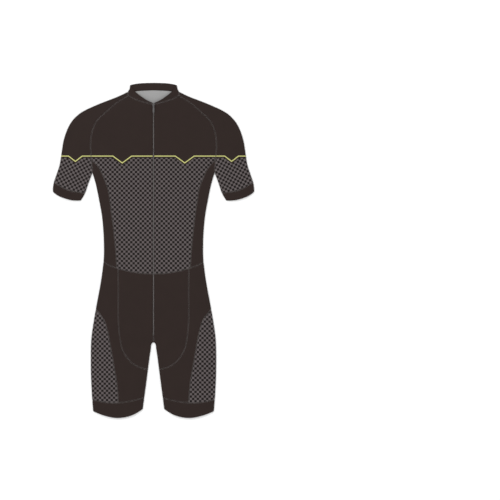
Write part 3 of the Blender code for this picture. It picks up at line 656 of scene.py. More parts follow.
def checks(tree, x, y, grey_centre, turn=0.0):
    """Small square checks of dark and grey, turned to run with the piece."""
    shift = (CHECK / 2 - grey_centre[0], CHECK / 2 - grey_centre[1], CHECK / 2)
    place = add_node(tree, "ShaderNodeCombineXYZ", x, y, 0.0)
    turned = {"Vector": place, "Location": shift, "Rotation": (0.0, 0.0, -turn)}
    mapping = add_node(tree, "ShaderNodeMapping", inputs=turned)
    board = {"Vector": mapping, "Color1": CHECK_DARK, "Color2": CHECK_GREY, "Scale": 1 / CHECK}
    return add_node(tree, "ShaderNodeTexChecker", inputs=board)


def striped_print(chevrons, is_sleeve=False):
    """Plain ground above a lime stripe and checks below it; the stripe dips in pointed chevrons."""

    def paint(tree, x, y):
        out = maths(tree, "ABSOLUTE", x)
        above = maths(tree, "SUBTRACT", y, STRIPE_LEVEL)
        for chevron in chevrons:
            steep = chevron.drop / chevron.half_width
            away = maths(tree, "ABSOLUTE", maths(tree, "SUBTRACT", out, chevron.centre))
            over = maths(tree, "SUBTRACT", y, STRIPE_LEVEL - chevron.drop)
            over = maths(tree, "MULTIPLY_ADD", away, -steep, over)
            above = maths(tree, "MAXIMUM", above, maths(tree, "DIVIDE", over, math.hypot(1, steep)))
        stripe = maths(tree, "LESS_THAN", maths(tree, "ABSOLUTE", above), STRIPE_HALF)
        below = maths(tree, "LESS_THAN", above, -STRIPE_MARGIN)
        if is_sleeve:
            pattern = checks(tree, out, y, SLEEVE_CHECK, SLEEVE_TURN)
        else:
            pattern = checks(tree, x, y, BODY_CHECK)
        return mixed(tree, stripe, mixed(tree, below, GROUND, pattern), LIME)

    return paint


back_print = striped_print([Chevron(0.0, 0.052, 0.036)])
half_back = [
    seam(WAIST_BACK, WAIST_BACK_CENTRE, PANEL_WAIST_BACK),
    seam(PANEL_BACK, PANEL_WAIST_BACK, PANEL_APEX),
    seam(RAGLAN_BACK, PANEL_APEX, NECK_BACK),
    seam(COLLAR_FOOT_BACK, NECK_BACK, COLLAR_FOOT_BACK[0]),
]
cloth = Cloth().wrap(back=half_back + [other_side(edge) for edge in reversed(half_back)])
back = cloth.build("back_skin", knit("back_knit", paint=back_print))
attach(back, "suit")
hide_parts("back")
SIDES = (("left", 1), ("right", -1))

# Fronts
# Two panels of the same printed knit, from the collar to the waist seam, with the zip sewn between
# them. The stripe runs level across both.
ZIP_HALF_WIDTH = 0.0025
COLLAR_END_FOOT = (2.5, 469)
WAIST_ZIP = (2.5, -74.8)
LOWER_TOP = (113.4, -58)
PANEL_WAIST_FRONT = (117.2, -56.2)
COLLAR_FOOT_FRONT = (COLLAR_END_FOOT, (21, 472.2), (50.5, 480.8), NECK_FRONT, SHOULDER_FOOT)
RAGLAN_FRONT = (
    NECK_FRONT, (118, 472), (150.8, 443.7), (181.7, 414), (196.3, 379.8), (201.6, 338), PANEL_APEX,
    ARMPIT,
)
PANEL_FRONT = (
    PANEL_APEX, (173.5, 262.8), (157.6, 229), (145.4, 196), (137.9, 148), (128.8, 78), (121.3, 5),
    PANEL_WAIST_FRONT,
)
WAIST_FRONT = (
    WAIST_ZIP, (43, -72.8), (80, -66.4), LOWER_TOP, PANEL_WAIST_FRONT, (140, -48.2), WAIST_SIDE,
)
front_knit = knit("front_knit", paint=striped_print([Chevron(0.100, 0.030, 0.022)]))
for side, hand in SIDES:
    cloth = Cloth(hand).wrap(
        front=[
            straight(metres(COLLAR_END_FOOT), metres(WAIST_ZIP)),
            seam(WAIST_FRONT, WAIST_ZIP, PANEL_WAIST_FRONT),
            seam(PANEL_FRONT, PANEL_WAIST_FRONT, PANEL_APEX),
            seam(RAGLAN_FRONT, PANEL_APEX, NECK_FRONT),
            seam(COLLAR_FOOT_FRONT, NECK_FRONT, COLLAR_END_FOOT),
        ]
    )
    front = cloth.build("front_skin_" + side, front_knit)
    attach(front, "suit")
    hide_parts("front_" + side)

# Side panels
# Plain knit that turns round each side from the front to the back, between the armpit and the
# waist. It is pointed at the armpit, where it meets the raglan seams.
plain_knit = knit("plain_knit_black")


def panel_outline(waist, panel, raglan):
    """One layer of a side panel, from its fold round by the waist."""
    return [
        folded(SIDE_FOLD, ARMPIT, WAIST_SIDE),
        seam(waist, WAIST_SIDE, panel[-1]),
        seam(panel, panel[-1], PANEL_APEX),
        seam(raglan, PANEL_APEX, ARMPIT),
    ]


for side, hand in SIDES:
    cloth = Cloth(hand).wrap(
        front=panel_outline(WAIST_FRONT, PANEL_FRONT, RAGLAN_FRONT),
        back=panel_outline(WAIST_BACK, PANEL_BACK, RAGLAN_BACK),
    )
    panel = cloth.build("side_panel_skin_" + side, plain_knit)
    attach(panel, "suit")
    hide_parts("side_panel_" + side)

# Sleeves
# Short raglan sleeves in printed knit, each folded along the shoulder and sewn under the arm. The
# checks run with the sleeve, so they are turned from those of the body.
CUFF_SEAM = (CUFF_SEAM_INNER, (256.2, 188.6), (274.8, 193.4), CUFF_SEAM_OUTER)
sleeve_print = striped_print([Chevron(0.250, 0.022, 0.017)], is_sleeve=True)
sleeve_knit = knit("sleeve_knit", paint=sleeve_print)


def sleeve_outline(collar_foot, raglan):
    """One layer of a sleeve, from the shoulder round by the collar."""
    return [
        folded(SHOULDER_FOLD, CUFF_SEAM_OUTER, SHOULDER_FOOT),
        seam(collar_foot, SHOULDER_FOOT, raglan[0]),
        seam(raglan),
        folded(SIDE_FOLD, ARMPIT, CUFF_SEAM_INNER, kind="sewn fold"),
        seam(CUFF_SEAM),
    ]


for side, hand in SIDES:
    cloth = Cloth(hand).wrap(
        front=sleeve_outline(COLLAR_FOOT_FRONT, RAGLAN_FRONT),
        back=sleeve_outline(COLLAR_FOOT_BACK, RAGLAN_BACK),
    )
    sleeve = cloth.build("sleeve_skin_" + side, sleeve_knit)
    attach(sleeve, "suit")
    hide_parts("sleeve_" + side)

# Cuffs
# Plain bands of elastic knit round the ends of the sleeves. Each is folded at both sides, sewn to
# its sleeve and left open at its free edge.
CUFF_EDGE = (CUFF_INNER, (262, 160.7), (290, 168.6), (308, 176.8), CUFF_OUTER)
band_knit = knit("band_knit_black", roughness=0.66)


def band_outline(band_seam, edge, outer_fold, inner_fold):
    """One layer of a band round the end of a sleeve or a leg."""
    return [
        folded(outer_fold, band_seam[-1], edge[-1]),
        seam(edge, edge[-1], edge[0], kind="free"),
        folded(inner_fold, edge[0], band_seam[0]),
        seam(band_seam),
    ]


for side, hand in SIDES:
    layer = band_outline(CUFF_SEAM, CUFF_EDGE, SHOULDER_FOLD, SIDE_FOLD)
    cloth = Cloth(hand).wrap(front=layer, back=layer)
    cuff = cloth.build("cuff_skin_" + side, band_knit)
    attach(cuff, "suit")
    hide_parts("cuff_" + side)

# Waist yoke
# Plain knit over the small of the back, between the waist seam and the seat, arched along its
# lower edge.
YOKE_END = (148.9, -177)
YOKE_CENTRE = (0, -151.6)
YOKE_SEAM = (YOKE_CENTRE, (84, -160), YOKE_END)
SEAT_SEAM = (
    PANEL_WAIST_BACK, (144.1, -95), YOKE_END, (146.9, -229), (134.8, -285.5), (114.3, -319.6),
    (88.6, -349.1), (54.7, -369.6), INSEAM_TOP,
)
half_yoke = [
    seam(YOKE_SEAM),
    seam(SEAT_SEAM, YOKE_END, PANEL_WAIST_BACK),
    seam(WAIST_BACK, PANEL_WAIST_BACK, WAIST_BACK_CENTRE),
]
cloth = Cloth().wrap(back=half_yoke + [other_side(edge) for edge in reversed(half_yoke)])
yoke = cloth.build("waist_yoke_skin", plain_knit)
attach(yoke, "suit")
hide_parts("waist_yoke")

# Seat
# Two plain panels over the seat, sewn to each other down the centre of the back and to the lower
# fronts along the top of the inner leg.
CROTCH_FOLD = folded(INNER_LEG_FOLD, CROTCH, INSEAM_TOP, kind="sewn fold")
for side, hand in SIDES:
    cloth = Cloth(hand).wrap(
        back=[
            straight(metres(YOKE_CENTRE), CROTCH_FOLD.points[0]),
            CROTCH_FOLD,
            seam(SEAT_SEAM, INSEAM_TOP, YOKE_END),
            seam(YOKE_SEAM, YOKE_END, YOKE_CENTRE),
        ]
    )
    seat = cloth.build("seat_skin_" + side, plain_knit)
    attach(seat, "suit")
    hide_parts("seat_" + side)

# Lower fronts
# Two plain panels from the waist to the crotch and a little way down the inner leg. The zip runs
# between them, and below its end they are sewn to each other.
ZIP_END = -0.270
LOWER_FRONT = (
    LOWER_TOP, (112.5, -140), (112.7, -222), (106.4, -288.5), (98, -320.3), (76.4, -352.7),
    (54.8, -369.2), INSEAM_TOP,
)
for side, hand in SIDES:
    cloth = Cloth(hand).wrap(
        front=[
            straight(metres(WAIST_ZIP), (ZIP_HALF_WIDTH, ZIP_END)),
            Edge([(ZIP_HALF_WIDTH, ZIP_END), (0.0, ZIP_END)], "seam"),
            straight((0.0, ZIP_END), CROTCH_FOLD.points[0]),
            CROTCH_FOLD,
            seam(LOWER_FRONT, INSEAM_TOP, LOWER_TOP),
            seam(WAIST_FRONT, LOWER_TOP, WAIST_ZIP),
        ]
    )
    lower = cloth.build("lower_front_skin_" + side, plain_knit)
    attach(lower, "suit")
    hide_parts("lower_front_" + side)

# Legs
# Plain panels that wrap the hip and, below it, the thigh inside the insert. Each is sewn to itself
# along the inseam.
INSERT_HEM_FRONT = (111.9, -487.6)
INSERT_HEM_BACK = (95.5, -485.2)
INSERT_FRONT = (
    INSERT_APEX, (158.5, -222), (147.4, -258), (137.4, -308), (127, -369), (117.8, -425),
    INSERT_HEM_FRONT,
)
INSERT_BACK = (
    INSERT_APEX, (167, -222.4), (148.6, -277.1), (131.8, -331.4), (114.5, -393.5), INSERT_HEM_BACK,
)
HEM_SEAM_FRONT = (HEM_SEAM_INNER, (68, -481.2), INSERT_HEM_FRONT, (146, -487.2), HEM_SEAM_OUTER)
HEM_SEAM_BACK = (HEM_SEAM_INNER, (60, -479), INSERT_HEM_BACK, (146, -486.5), HEM_SEAM_OUTER)


def leg_outline(insert, hem, inner, waist):
    """One layer of a leg, from the hip round by the insert."""
    return [
        folded(SIDE_FOLD, WAIST_SIDE, INSERT_APEX),
        seam(insert),
        seam(hem, insert[-1], HEM_SEAM_INNER),
        folded(INNER_LEG_FOLD, HEM_SEAM_INNER, INSEAM_TOP, kind="sewn fold"),
        seam(inner, INSEAM_TOP, inner[0]),
        seam(waist, inner[0], WAIST_SIDE),
    ]


for side, hand in SIDES:
    cloth = Cloth(hand).wrap(
        front=leg_outline(INSERT_FRONT, HEM_SEAM_FRONT, LOWER_FRONT, WAIST_FRONT),
        back=leg_outline(INSERT_BACK, HEM_SEAM_BACK, SEAT_SEAM, WAIST_BACK),
    )
    leg = cloth.build("leg_skin_" + side, plain_knit)
    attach(leg, "suit")
    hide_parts("leg_" + side)

# Thigh inserts
# Long pointed panels of checked knit that turn round the outer thigh and are widest at the hem.
# The grey checks start a little differently on each thigh.
INSERT_CHECKS = {"left": (0.01459, 0.00434), "right": (0.00867, 0.00049)}


def check_print(grey_centre):
    """Checks all over."""
    return lambda tree, x, y: checks(tree, x, y, grey_centre)


def insert_outline(insert, hem):
    """One layer of a thigh insert, from its fold round by the hem."""
    return [
        folded(SIDE_FOLD, INSERT_APEX, HEM_SEAM_OUTER),
        seam(hem, HEM_SEAM_OUTER, insert[-1]),
        seam(insert, insert[-1], INSERT_APEX),
    ]


for side, hand in SIDES:
    cloth = Cloth(hand).wrap(
        front=insert_outline(INSERT_FRONT, HEM_SEAM_FRONT),
        back=insert_outline(INSERT_BACK, HEM_SEAM_BACK),
    )
    insert_knit = knit("insert_knit_" + side, paint=check_print(INSERT_CHECKS[side]))
    insert = cloth.build("thigh_insert_skin_" + side, insert_knit)
    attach(insert, "suit")
    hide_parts("thigh_insert_" + side)

# Hem bands
# Plain bands of elastic knit round the ends of the legs, cut with a downward curve. Each is sewn
# to its leg and left open at its free edge.
HEM_EDGE = (HEM_INNER, (70, -528.2), (114, -536.2), (156, -529), HEM_OUTER)
for side, hand in SIDES:
    cloth = Cloth(hand).wrap(
        front=band_outline(HEM_SEAM_FRONT, HEM_EDGE, SIDE_FOLD, INNER_LEG_FOLD),
        back=band_outline(HEM_SEAM_BACK, HEM_EDGE, SIDE_FOLD, INNER_LEG_FOLD),
    )
    hem_band = cloth.build("hem_band_skin_" + side, band_knit)
    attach(hem_band, "suit")
    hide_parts("hem_band_" + side)

# Collar
# A low stand of plain knit, black on both sides: a band behind the neck whose ends turn forward
# over the shoulders and taper to the top of the zip.
COLLAR_END_TOP = (2.5, 472.3)
COLLAR_TOP_FRONT = (
    COLLAR_END_TOP, (13.5, 477.2), (29, 485.6), (45, 497.2), (59.5, 509.3), COLLAR_CORNER,
)
COLLAR_TOP_BACK = ((0, 536.2), (40, 534.9), (62, 532), COLLAR_CORNER)
cloth = Cloth()
corner_fold = folded(SHOULDER_FOLD, SHOULDER_FOOT, COLLAR_CORNER)
half_collar = [
    seam(COLLAR_FOOT_BACK),
    corner_fold,
    seam(COLLAR_TOP_BACK, COLLAR_CORNER, COLLAR_TOP_BACK[0], kind="free"),
]
collar_end = [
    seam(COLLAR_FOOT_FRONT),
    corner_fold,
    seam(COLLAR_TOP_FRONT, COLLAR_CORNER, COLLAR_END_TOP, kind="free"),
    Edge([metres(COLLAR_END_TOP), metres(COLLAR_END_FOOT)], "seam"),
]
behind = cloth.flat(half_collar + [other_side(edge) for edge in reversed(half_collar)], "back")
for hand, back_edge in ((1, behind[1]), (-1, behind[4][::-1])):
    ends = [Edge([(x * hand, y) for x, y in edge.points], edge.kind) for edge in collar_end]
    front_edge = cloth.flat(ends, "front")[1]
    stations = [Station(s.base, (s.lean[0] * hand, s.lean[1])) for s in corner_fold.stations]
    cloth.fold(stations, front_edge, back_edge)
collar = cloth.build("collar_skin", knit("collar_knit", lining=GROUND))
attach(collar, "suit")
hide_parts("collar")

# Flatlock seams
# The pieces butt edge to edge. A lighter grey thread zigzags across each join between two straight
# rows, on the front and on the back, and the cloth sinks a little under it.
THREAD = (0.165, 0.145, 0.140, 1.0)
THREAD_RADIUS = 0.00021
THREAD_SIDES = 4
TWIST_SCALE, TWIST_SHADE = 1600.0, 0.72
ZIGZAG_PITCH = 0.0009
ROW_STEP = 0.0030
SEAM_HALF_WIDTH = 0.0016
FOLDED_HALF_WIDTH = 0.0008
SEAM_DEPTH = 0.00022
TURN_STEPS = 8
Way = namedtuple("Way", "place up half_width")


def over_front(edge, hand):
    """The way of a seam over the front."""
    heights = front_face(edge.points, hand) - SEAM_DEPTH
    return [Way((x, y, z), (0, 0, 1), SEAM_HALF_WIDTH) for (x, y), z in zip(edge.points, heights)]


def over_back(edge):
    """The way of a seam over the back."""
    return [Way((x, y, SEAM_DEPTH), (0, 0, -1), SEAM_HALF_WIDTH) for x, y in edge.points]


def round_edge(stations, place):
    """The way of a seam round a folded edge, from the front to the back."""
    station = fold_between(stations, place, place)[0]
    return [at_turn(station, math.pi * k / TURN_STEPS) for k in range(1, TURN_STEPS)]


def along_edge(stations, start, end):
    """The way of a seam that runs along the middle of a folded edge."""
    return [at_turn(station, math.pi / 2) for station in fold_between(stations, start, end)]


def at_turn(station, turn):
    """A place on the round of a folded edge."""
    radius = FOLD_RADIUS - SEAM_DEPTH
    out, rise = math.sin(turn), math.cos(turn)
    size = math.hypot(*station.lean)
    x, y = (station.base[a] + station.lean[a] * out * radius / FOLD_RADIUS for a in (0, 1))
    up = (station.lean[0] / size * out, station.lean[1] / size * out, rise)
    return Way((x, y, FOLD_RADIUS + rise * radius), up, FOLDED_HALF_WIDTH)


def both_layers(front_rows, stations, place, back_rows, hand):
    """The way of a seam over the front to a folded edge, round it, and away over the back."""
    starts, ends = (rows[-1] if rows[0] == place else rows[0] for rows in (front_rows, back_rows))
    return (
        over_front(seam(front_rows, starts, place), hand)
        + round_edge(stations, place)
        + over_back(seam(back_rows, place, ends))
    )


seam_ways = []
for side, hand in SIDES:
    ways = [
        both_layers(RAGLAN_FRONT, SIDE_FOLD, ARMPIT, RAGLAN_BACK, hand),
        both_layers(COLLAR_FOOT_FRONT, SHOULDER_FOLD, SHOULDER_FOOT, COLLAR_FOOT_BACK, hand),
        both_layers(CUFF_SEAM, SHOULDER_FOLD, CUFF_SEAM_OUTER, CUFF_SEAM, hand)
        + round_edge(SIDE_FOLD, CUFF_SEAM_INNER)[::-1],
        over_front(seam(PANEL_FRONT), hand),
        over_back(seam(PANEL_BACK)),
        both_layers(WAIST_FRONT, SIDE_FOLD, WAIST_SIDE, WAIST_BACK, hand),
        over_back(seam(YOKE_SEAM)),
        both_layers(LOWER_FRONT, INNER_LEG_FOLD, INSEAM_TOP, SEAT_SEAM, hand),
        both_layers(INSERT_FRONT, SIDE_FOLD, INSERT_APEX, INSERT_BACK, hand),
        both_layers(HEM_SEAM_FRONT, SIDE_FOLD, HEM_SEAM_OUTER, HEM_SEAM_BACK, hand)
        + round_edge(INNER_LEG_FOLD, HEM_SEAM_INNER)[::-1],
        along_edge(SIDE_FOLD, CUFF_SEAM_INNER, ARMPIT),
        along_edge(INNER_LEG_FOLD, HEM_SEAM_INNER, CROTCH),
    ]
    if side == "left":
        crotch = CROTCH_FOLD.points[0]
        ways.append(
            over_front(straight((0.0, ZIP_END), crotch), hand)
            + round_edge(INNER_LEG_FOLD, CROTCH)
            + over_back(straight(crotch, metres(YOKE_CENTRE)))
        )
    seam_ways += [
        [Way((x * hand, y, z), (up[0] * hand, up[1], up[2]), width) for (x, y, z), up, width in way]
        for way in ways
    ]


def line_mesh(name, ways):
    """Lines through the given places, which carry the cloth's direction and the seam's width."""
    mesh = bpy.data.meshes.new(name)
    steps = [step for way in ways for step in way]
    edges, first = [], 0
    for way in ways:
        edges += [(k, k + 1) for k in range(first, first + len(way) - 1)]
        first += len(way)
    mesh.from_pydata([step.place for step in steps], edges, [])
    up = mesh.attributes.new("up", "FLOAT_VECTOR", "POINT")
    up.data.foreach_set("vector", np.array([step.up for step in steps], np.float32).ravel())
    width = mesh.attributes.new("half_width", "FLOAT", "POINT")
    width.data.foreach_set("value", np.array([step.half_width for step in steps], np.float32))
    return mesh


def new_tree(name, inputs):
    """A Geometry Nodes tree with named inputs; returns it and the inputs' sockets by name."""
    tree = bpy.data.node_groups.new(name, "GeometryNodeTree")
    tree.is_modifier = True
    tree.interface.new_socket("Geometry", in_out="INPUT", socket_type="NodeSocketGeometry")
    tree.interface.new_socket("Geometry", in_out="OUTPUT", socket_type="NodeSocketGeometry")
    for label, kind in inputs.items():
        tree.interface.new_socket(label, in_out="INPUT", socket_type="NodeSocket" + kind)
    return tree, tree.nodes.new("NodeGroupInput").outputs


def in_steps(tree, lines, step):
    """Curves in even steps."""
    return add_node(tree, "GeometryNodeResampleCurve", lines, None, None, step, mode="LENGTH")


def side_to_side(tree):
    """-1 and 1 by turns, from point to point."""
    turn = maths(tree, "MODULO", add_node(tree, "GeometryNodeInputIndex"), 2.0)
    return maths(tree, "MULTIPLY_ADD", turn, 2.0, -1.0)


def close_tree(tree, parts, material):
    """Join what a tree makes, realize its instances and give it its material."""
    joined = tree.nodes.new("GeometryNodeJoinGeometry")
    for part in parts:
        tree.links.new(part, joined.inputs[0])
    plain = add_node(tree, "GeometryNodeRealizeInstances", joined.outputs[0])
    finished = add_node(tree, "GeometryNodeSetMaterial", plain, None, material)
    tree.links.new(finished, tree.nodes.new("NodeGroupOutput").inputs[0])


def grown(name, mesh, tree, values):
    """Run a tree on a mesh and keep the result as a plain mesh object."""
    thing = placed(name, mesh)
    modifier = thing.modifiers.new("grow", "NODES")
    modifier.node_group = tree
    for item in tree.interface.items_tree:
        if item.item_type == "SOCKET" and item.in_out == "INPUT" and item.name in values:
            modifier[item.identifier] = values[item.name]
    seen = thing.evaluated_get(bpy.context.evaluated_depsgraph_get())
    result = bpy.data.meshes.new_from_object(seen)
    thing.modifiers.remove(modifier)
    thing.data = result
    result.shade_smooth()
    return thing


def toned(colour, share):
    """A colour made darker or brighter."""
    return tuple(share * value for value in colour[:3]) + (1.0,)


def thread_look(name, colour, roughness=0.7):
    """Spun thread: a fine twist along it and small changes of tone."""
    shine = {"Roughness": roughness, "Specular IOR Level": 0.25}
    material, tree, surface = new_finish(name, shine)
    place = add_node(tree, "ShaderNodeTexCoord").node.outputs["Object"]
    twist = noise(tree, place, TWIST_SCALE)
    feed(tree, surface["Base Color"], mixed(tree, twist, toned(colour, TWIST_SHADE), colour))
    return material


tree, given = new_tree(
    "flat_seam",
    {"Pitch": "Float", "Row Step": "Float", "Thread Radius": "Float", "Thread": "Material"},
)
lines = add_node(tree, "GeometryNodeMeshToCurve", given["Geometry"])
up = add_node(tree, "GeometryNodeInputNamedAttribute", "up", data_type="FLOAT_VECTOR")
half_width = add_node(tree, "GeometryNodeInputNamedAttribute", "half_width", data_type="FLOAT")
along = add_node(tree, "GeometryNodeInputTangent")
across = add_node(tree, "ShaderNodeVectorMath", up, along, operation="CROSS_PRODUCT")
across = add_node(tree, "ShaderNodeVectorMath", across, operation="NORMALIZE")
circle = {"Resolution": THREAD_SIDES, "Radius": given["Thread Radius"]}
round_thread = add_node(tree, "GeometryNodeCurvePrimitiveCircle", inputs=circle)
threads = []
for spacing, side_of_seam in (("Pitch", side_to_side(tree)), ("Row Step", 1.0), ("Row Step", -1.0)):
    spread = maths(tree, "MULTIPLY", half_width, side_of_seam)
    push = add_node(tree, "ShaderNodeVectorMath", across, None, None, spread, operation="SCALE")
    steps = in_steps(tree, lines, given[spacing])
    moved = add_node(tree, "GeometryNodeSetPosition", steps, None, None, push)
    profile = {"Profile Curve": round_thread, "Fill Caps": True}
    threads.append(add_node(tree, "GeometryNodeCurveToMesh", moved, inputs=profile))
close_tree(tree, threads, given["Thread"])
sizes = {
    "Pitch": ZIGZAG_PITCH,
    "Row Step": ROW_STEP,
    "Thread Radius": THREAD_RADIUS,
    "Thread": thread_look("seam_thread", THREAD),
}
stitches = grown("seam_stitches", line_mesh("seam_lines", seam_ways), tree, sizes)
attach(stitches, "suit")

# Zip
# A closed coil zip between the fronts: a narrow black tape under two rows of grey nylon teeth that
# grip each other along the middle.
TAPE_SINK = 0.0004
TAPE_THICKNESS = 0.0011
TAPE_LEVELS = 180
TOOTH_PITCH = 0.00065
TOOTH_OFFSET = 0.00060
TOOTH_SIZE = (0.00120, 0.00036, 0.00052)
TOOTH_SINK = 0.00002
TOOTH_BEAD = {"Segments": 8, "Rings": 5, "Radius": 1.0}
ZIP_TOP = 0.4702
COIL_GREY = (0.205, 0.190, 0.186, 1.0)


def ring_mesh(name, rings, is_loop=False):
    """Rings of corners joined in order, and either capped or closed on the first one."""
    size = len(rings[0])
    starts = range(0, size * len(rings), size)
    nexts = [*starts[1:], starts[0]] if is_loop else starts[1:]
    faces = [
        (a + k, a + (k + 1) % size, b + (k + 1) % size, b + k)
        for a, b in zip(starts, nexts)
        for k in range(size)
    ]
    if not is_loop:
        faces += [tuple(range(size))[::-1], tuple(range(starts[-1], starts[-1] + size))]
    mesh = bpy.data.meshes.new(name)
    mesh.from_pydata([corner for ring in rings for corner in ring], [], faces)
    return mesh


def box_ring(left, right, y, bottom, top):
    """The four corners of a strip at one place along the zip."""
    return [(left, y, top), (right, y, top), (right, y, bottom), (left, y, bottom)]


tape_half = ZIP_HALF_WIDTH - SEAM_GAP / 2
levels = np.linspace(ZIP_END + SEAM_GAP / 2, ZIP_TOP, TAPE_LEVELS)
faces_at = front_face(np.stack([0 * levels, levels], 1))
tape_tops = faces_at - TAPE_SINK
tape_rings = [
    box_ring(-tape_half, tape_half, y, top - TAPE_THICKNESS, top)
    for y, top in zip(levels, tape_tops)
]
tape = placed("zip_tape", ring_mesh("zip_tape", tape_rings), thread_look("zip_tape_weave", GROUND))

tree, given = new_tree(
    "coil_teeth",
    {"Pitch": "Float", "Offset": "Float", "Tooth Size": "Vector", "Nylon": "Material"},
)
lines = add_node(tree, "GeometryNodeMeshToCurve", given["Geometry"])
steps = in_steps(tree, lines, given["Pitch"])
swing = maths(tree, "MULTIPLY", side_to_side(tree), given["Offset"])
push = add_node(tree, "ShaderNodeCombineXYZ", swing)
moved = add_node(tree, "GeometryNodeSetPosition", steps, None, None, push)
bead = add_node(tree, "GeometryNodeMeshUVSphere", inputs=TOOTH_BEAD)
tooth = {"Instance": bead, "Scale": given["Tooth Size"]}
teeth = add_node(tree, "GeometryNodeInstanceOnPoints", moved, inputs=tooth)
close_tree(tree, [teeth], given["Nylon"])
way = [Way((0.0, y, z - TOOTH_SINK), (0, 0, 1), 0.0) for y, z in zip(levels, faces_at)]
sizes = {
    "Pitch": TOOTH_PITCH,
    "Offset": TOOTH_OFFSET,
    "Tooth Size": TOOTH_SIZE,
    "Nylon": thread_look("zip_nylon", COIL_GREY, roughness=0.42),
}
coil = grown("zip_coil_teeth", line_mesh("zip_line", [way]), tree, sizes)
for piece in (tape, coil):
    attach(piece, "suit")
    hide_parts("zip")

# Zip slider
# A die-cast slider over the coil at the neck end of the zip: a rounded body, wider at its nose,
# with two posts that carry the bar of the pull tab. It stays at the top, as drawn.
SLIDER_LEVEL = 0.464
SLIDER_HEIGHT = 0.0022
SLIDER_REACH = 0.0055
BRIDGE_HEIGHT = 0.0027
BAR_RADIUS, BAR_HALF_LENGTH, BAR_SIDES = 0.00055, 0.0028, 20
POST_OUTER, POST_HALF_LENGTH, POST_ROOT = 0.0031, 0.0012, 0.0006
BODY_BEVEL, POST_BEVEL, BAR_BEVEL = 0.0004, 0.0003, 0.00005
EYE_BORE = 0.00090
EYE_RADIUS = 0.00165
EYE_WIDTH = 0.0032
REST_GAP = 0.0003
ZIP_PROUD = 0.0005
METAL_GREY = (0.085, 0.080, 0.080, 1.0)
RUB_SCALE, RUB_BRIGHTER = 420.0, 1.7
# How far along the zip from the middle of the slider, and half its width there
SLIDER_ROWS = (
    (SLIDER_REACH, 0.0026), (0.0049, 0.0034), (0.0030, 0.0036), (-0.0010, 0.0033),
    (-0.0040, 0.0029), (-0.0051, 0.0027), (-SLIDER_REACH, 0.0021),
)


def rounded_solid(name, rings, bevel):
    """A capped solid of rings with its edges rounded."""
    mesh = ring_mesh(name, rings)
    body = bmesh.new()
    body.from_mesh(mesh)
    bmesh.ops.recalc_face_normals(body, faces=body.faces)
    sharp = [edge for edge in body.edges if edge.calc_face_angle() > math.radians(35)]
    bmesh.ops.bevel(body, geom=sharp, offset=bevel, segments=3, profile=0.6, affect="EDGES")
    body.to_mesh(mesh)
    body.free()
    return mesh


def joined(name, meshes, material):
    """One object of several closed meshes."""
    body = bmesh.new()
    for part in meshes:
        body.from_mesh(part)
        bpy.data.meshes.remove(part)
    mesh = bpy.data.meshes.new(name)
    body.to_mesh(mesh)
    body.free()
    mesh.shade_smooth()
    mesh.set_sharp_from_angle(angle=math.radians(40))
    return placed(name, mesh, material)


def round_bar(name, centre, size, bevel):
    """A round bar across the zip."""
    radius, half_length, sides = size
    turns = [2 * math.pi * k / sides for k in range(sides)]
    rings = [
        [(x, centre[1] + radius * math.cos(t), centre[2] + radius * math.sin(t)) for t in turns]
        for x in (-half_length, half_length)
    ]
    return rounded_solid(name, rings, bevel)


def painted_metal(name, colour):
    """Dull grey paint on die-cast metal, with rubbed patches where the bare metal shines."""
    material, tree, surface = new_finish(name, {})
    place = add_node(tree, "ShaderNodeTexCoord").node.outputs["Object"]
    worn = maths(tree, "SUBTRACT", noise(tree, place, RUB_SCALE, 5.0), 0.50)
    worn = add_node(tree, "ShaderNodeClamp", maths(tree, "MULTIPLY", worn, 4.0))
    feed(tree, surface["Base Color"], mixed(tree, worn, colour, toned(colour, RUB_BRIGHTER)))
    feed(tree, surface["Roughness"], maths(tree, "MULTIPLY_ADD", worn, -0.16, 0.44))
    feed(tree, surface["Metallic"], maths(tree, "MULTIPLY_ADD", worn, 0.5, 0.35))
    return material


zip_metal = painted_metal("zip_metal_grey", METAL_GREY)
ends = [[0.0, SLIDER_LEVEL - SLIDER_REACH], [0.0, SLIDER_LEVEL + SLIDER_REACH]]
slider_top = float(front_face(ends).max()) + ZIP_PROUD + REST_GAP + SLIDER_HEIGHT
axis = (0.0, SLIDER_LEVEL, slider_top + BRIDGE_HEIGHT - BAR_RADIUS)
plan = [(half, SLIDER_LEVEL + up) for up, half in SLIDER_ROWS]
plan = [(-x, y) for x, y in plan] + plan[::-1]
body_rings = [
    [(x, y, level) for x, y in plan] for level in (slider_top - SLIDER_HEIGHT, slider_top)
]
parts = [rounded_solid("slider_body", body_rings, BODY_BEVEL)]
for way_out in (-1, 1):
    near, far = sorted((way_out * (EYE_WIDTH / 2 + REST_GAP), way_out * POST_OUTER))
    post = [
        box_ring(near, far, SLIDER_LEVEL + y, slider_top - POST_ROOT, slider_top + BRIDGE_HEIGHT)
        for y in (-POST_HALF_LENGTH, POST_HALF_LENGTH)
    ]
    parts.append(rounded_solid("slider_post", post, POST_BEVEL))
parts.append(round_bar("slider_bar", axis, (BAR_RADIUS, BAR_HALF_LENGTH, BAR_SIDES), BAR_BEVEL))
slider = joined("zip_slider_cast", parts, zip_metal)
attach(slider, "suit")
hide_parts("zip_slider")

# Pull tab
# A small metal tab whose eye turns round the slider's bar. It lies down over the zip, and three
# low ridges near its end give the fingers a hold.
PULL_THICKNESS = 0.0011
PULL_LENGTH = 0.0230
BLADE_BEVEL = 0.00025
RIDGES = (0.0165, 0.0182, 0.0199)
RIDGE_RADIUS, RIDGE_HALF_LENGTH, RIDGE_SIDES = 0.0003, 0.0022, 12
RIDGE_SINK, RIDGE_BEVEL = 0.0001, 0.0001
EYE_STEPS, EYE_SIDES = 28, 12
EYE_SQUARENESS = 0.75
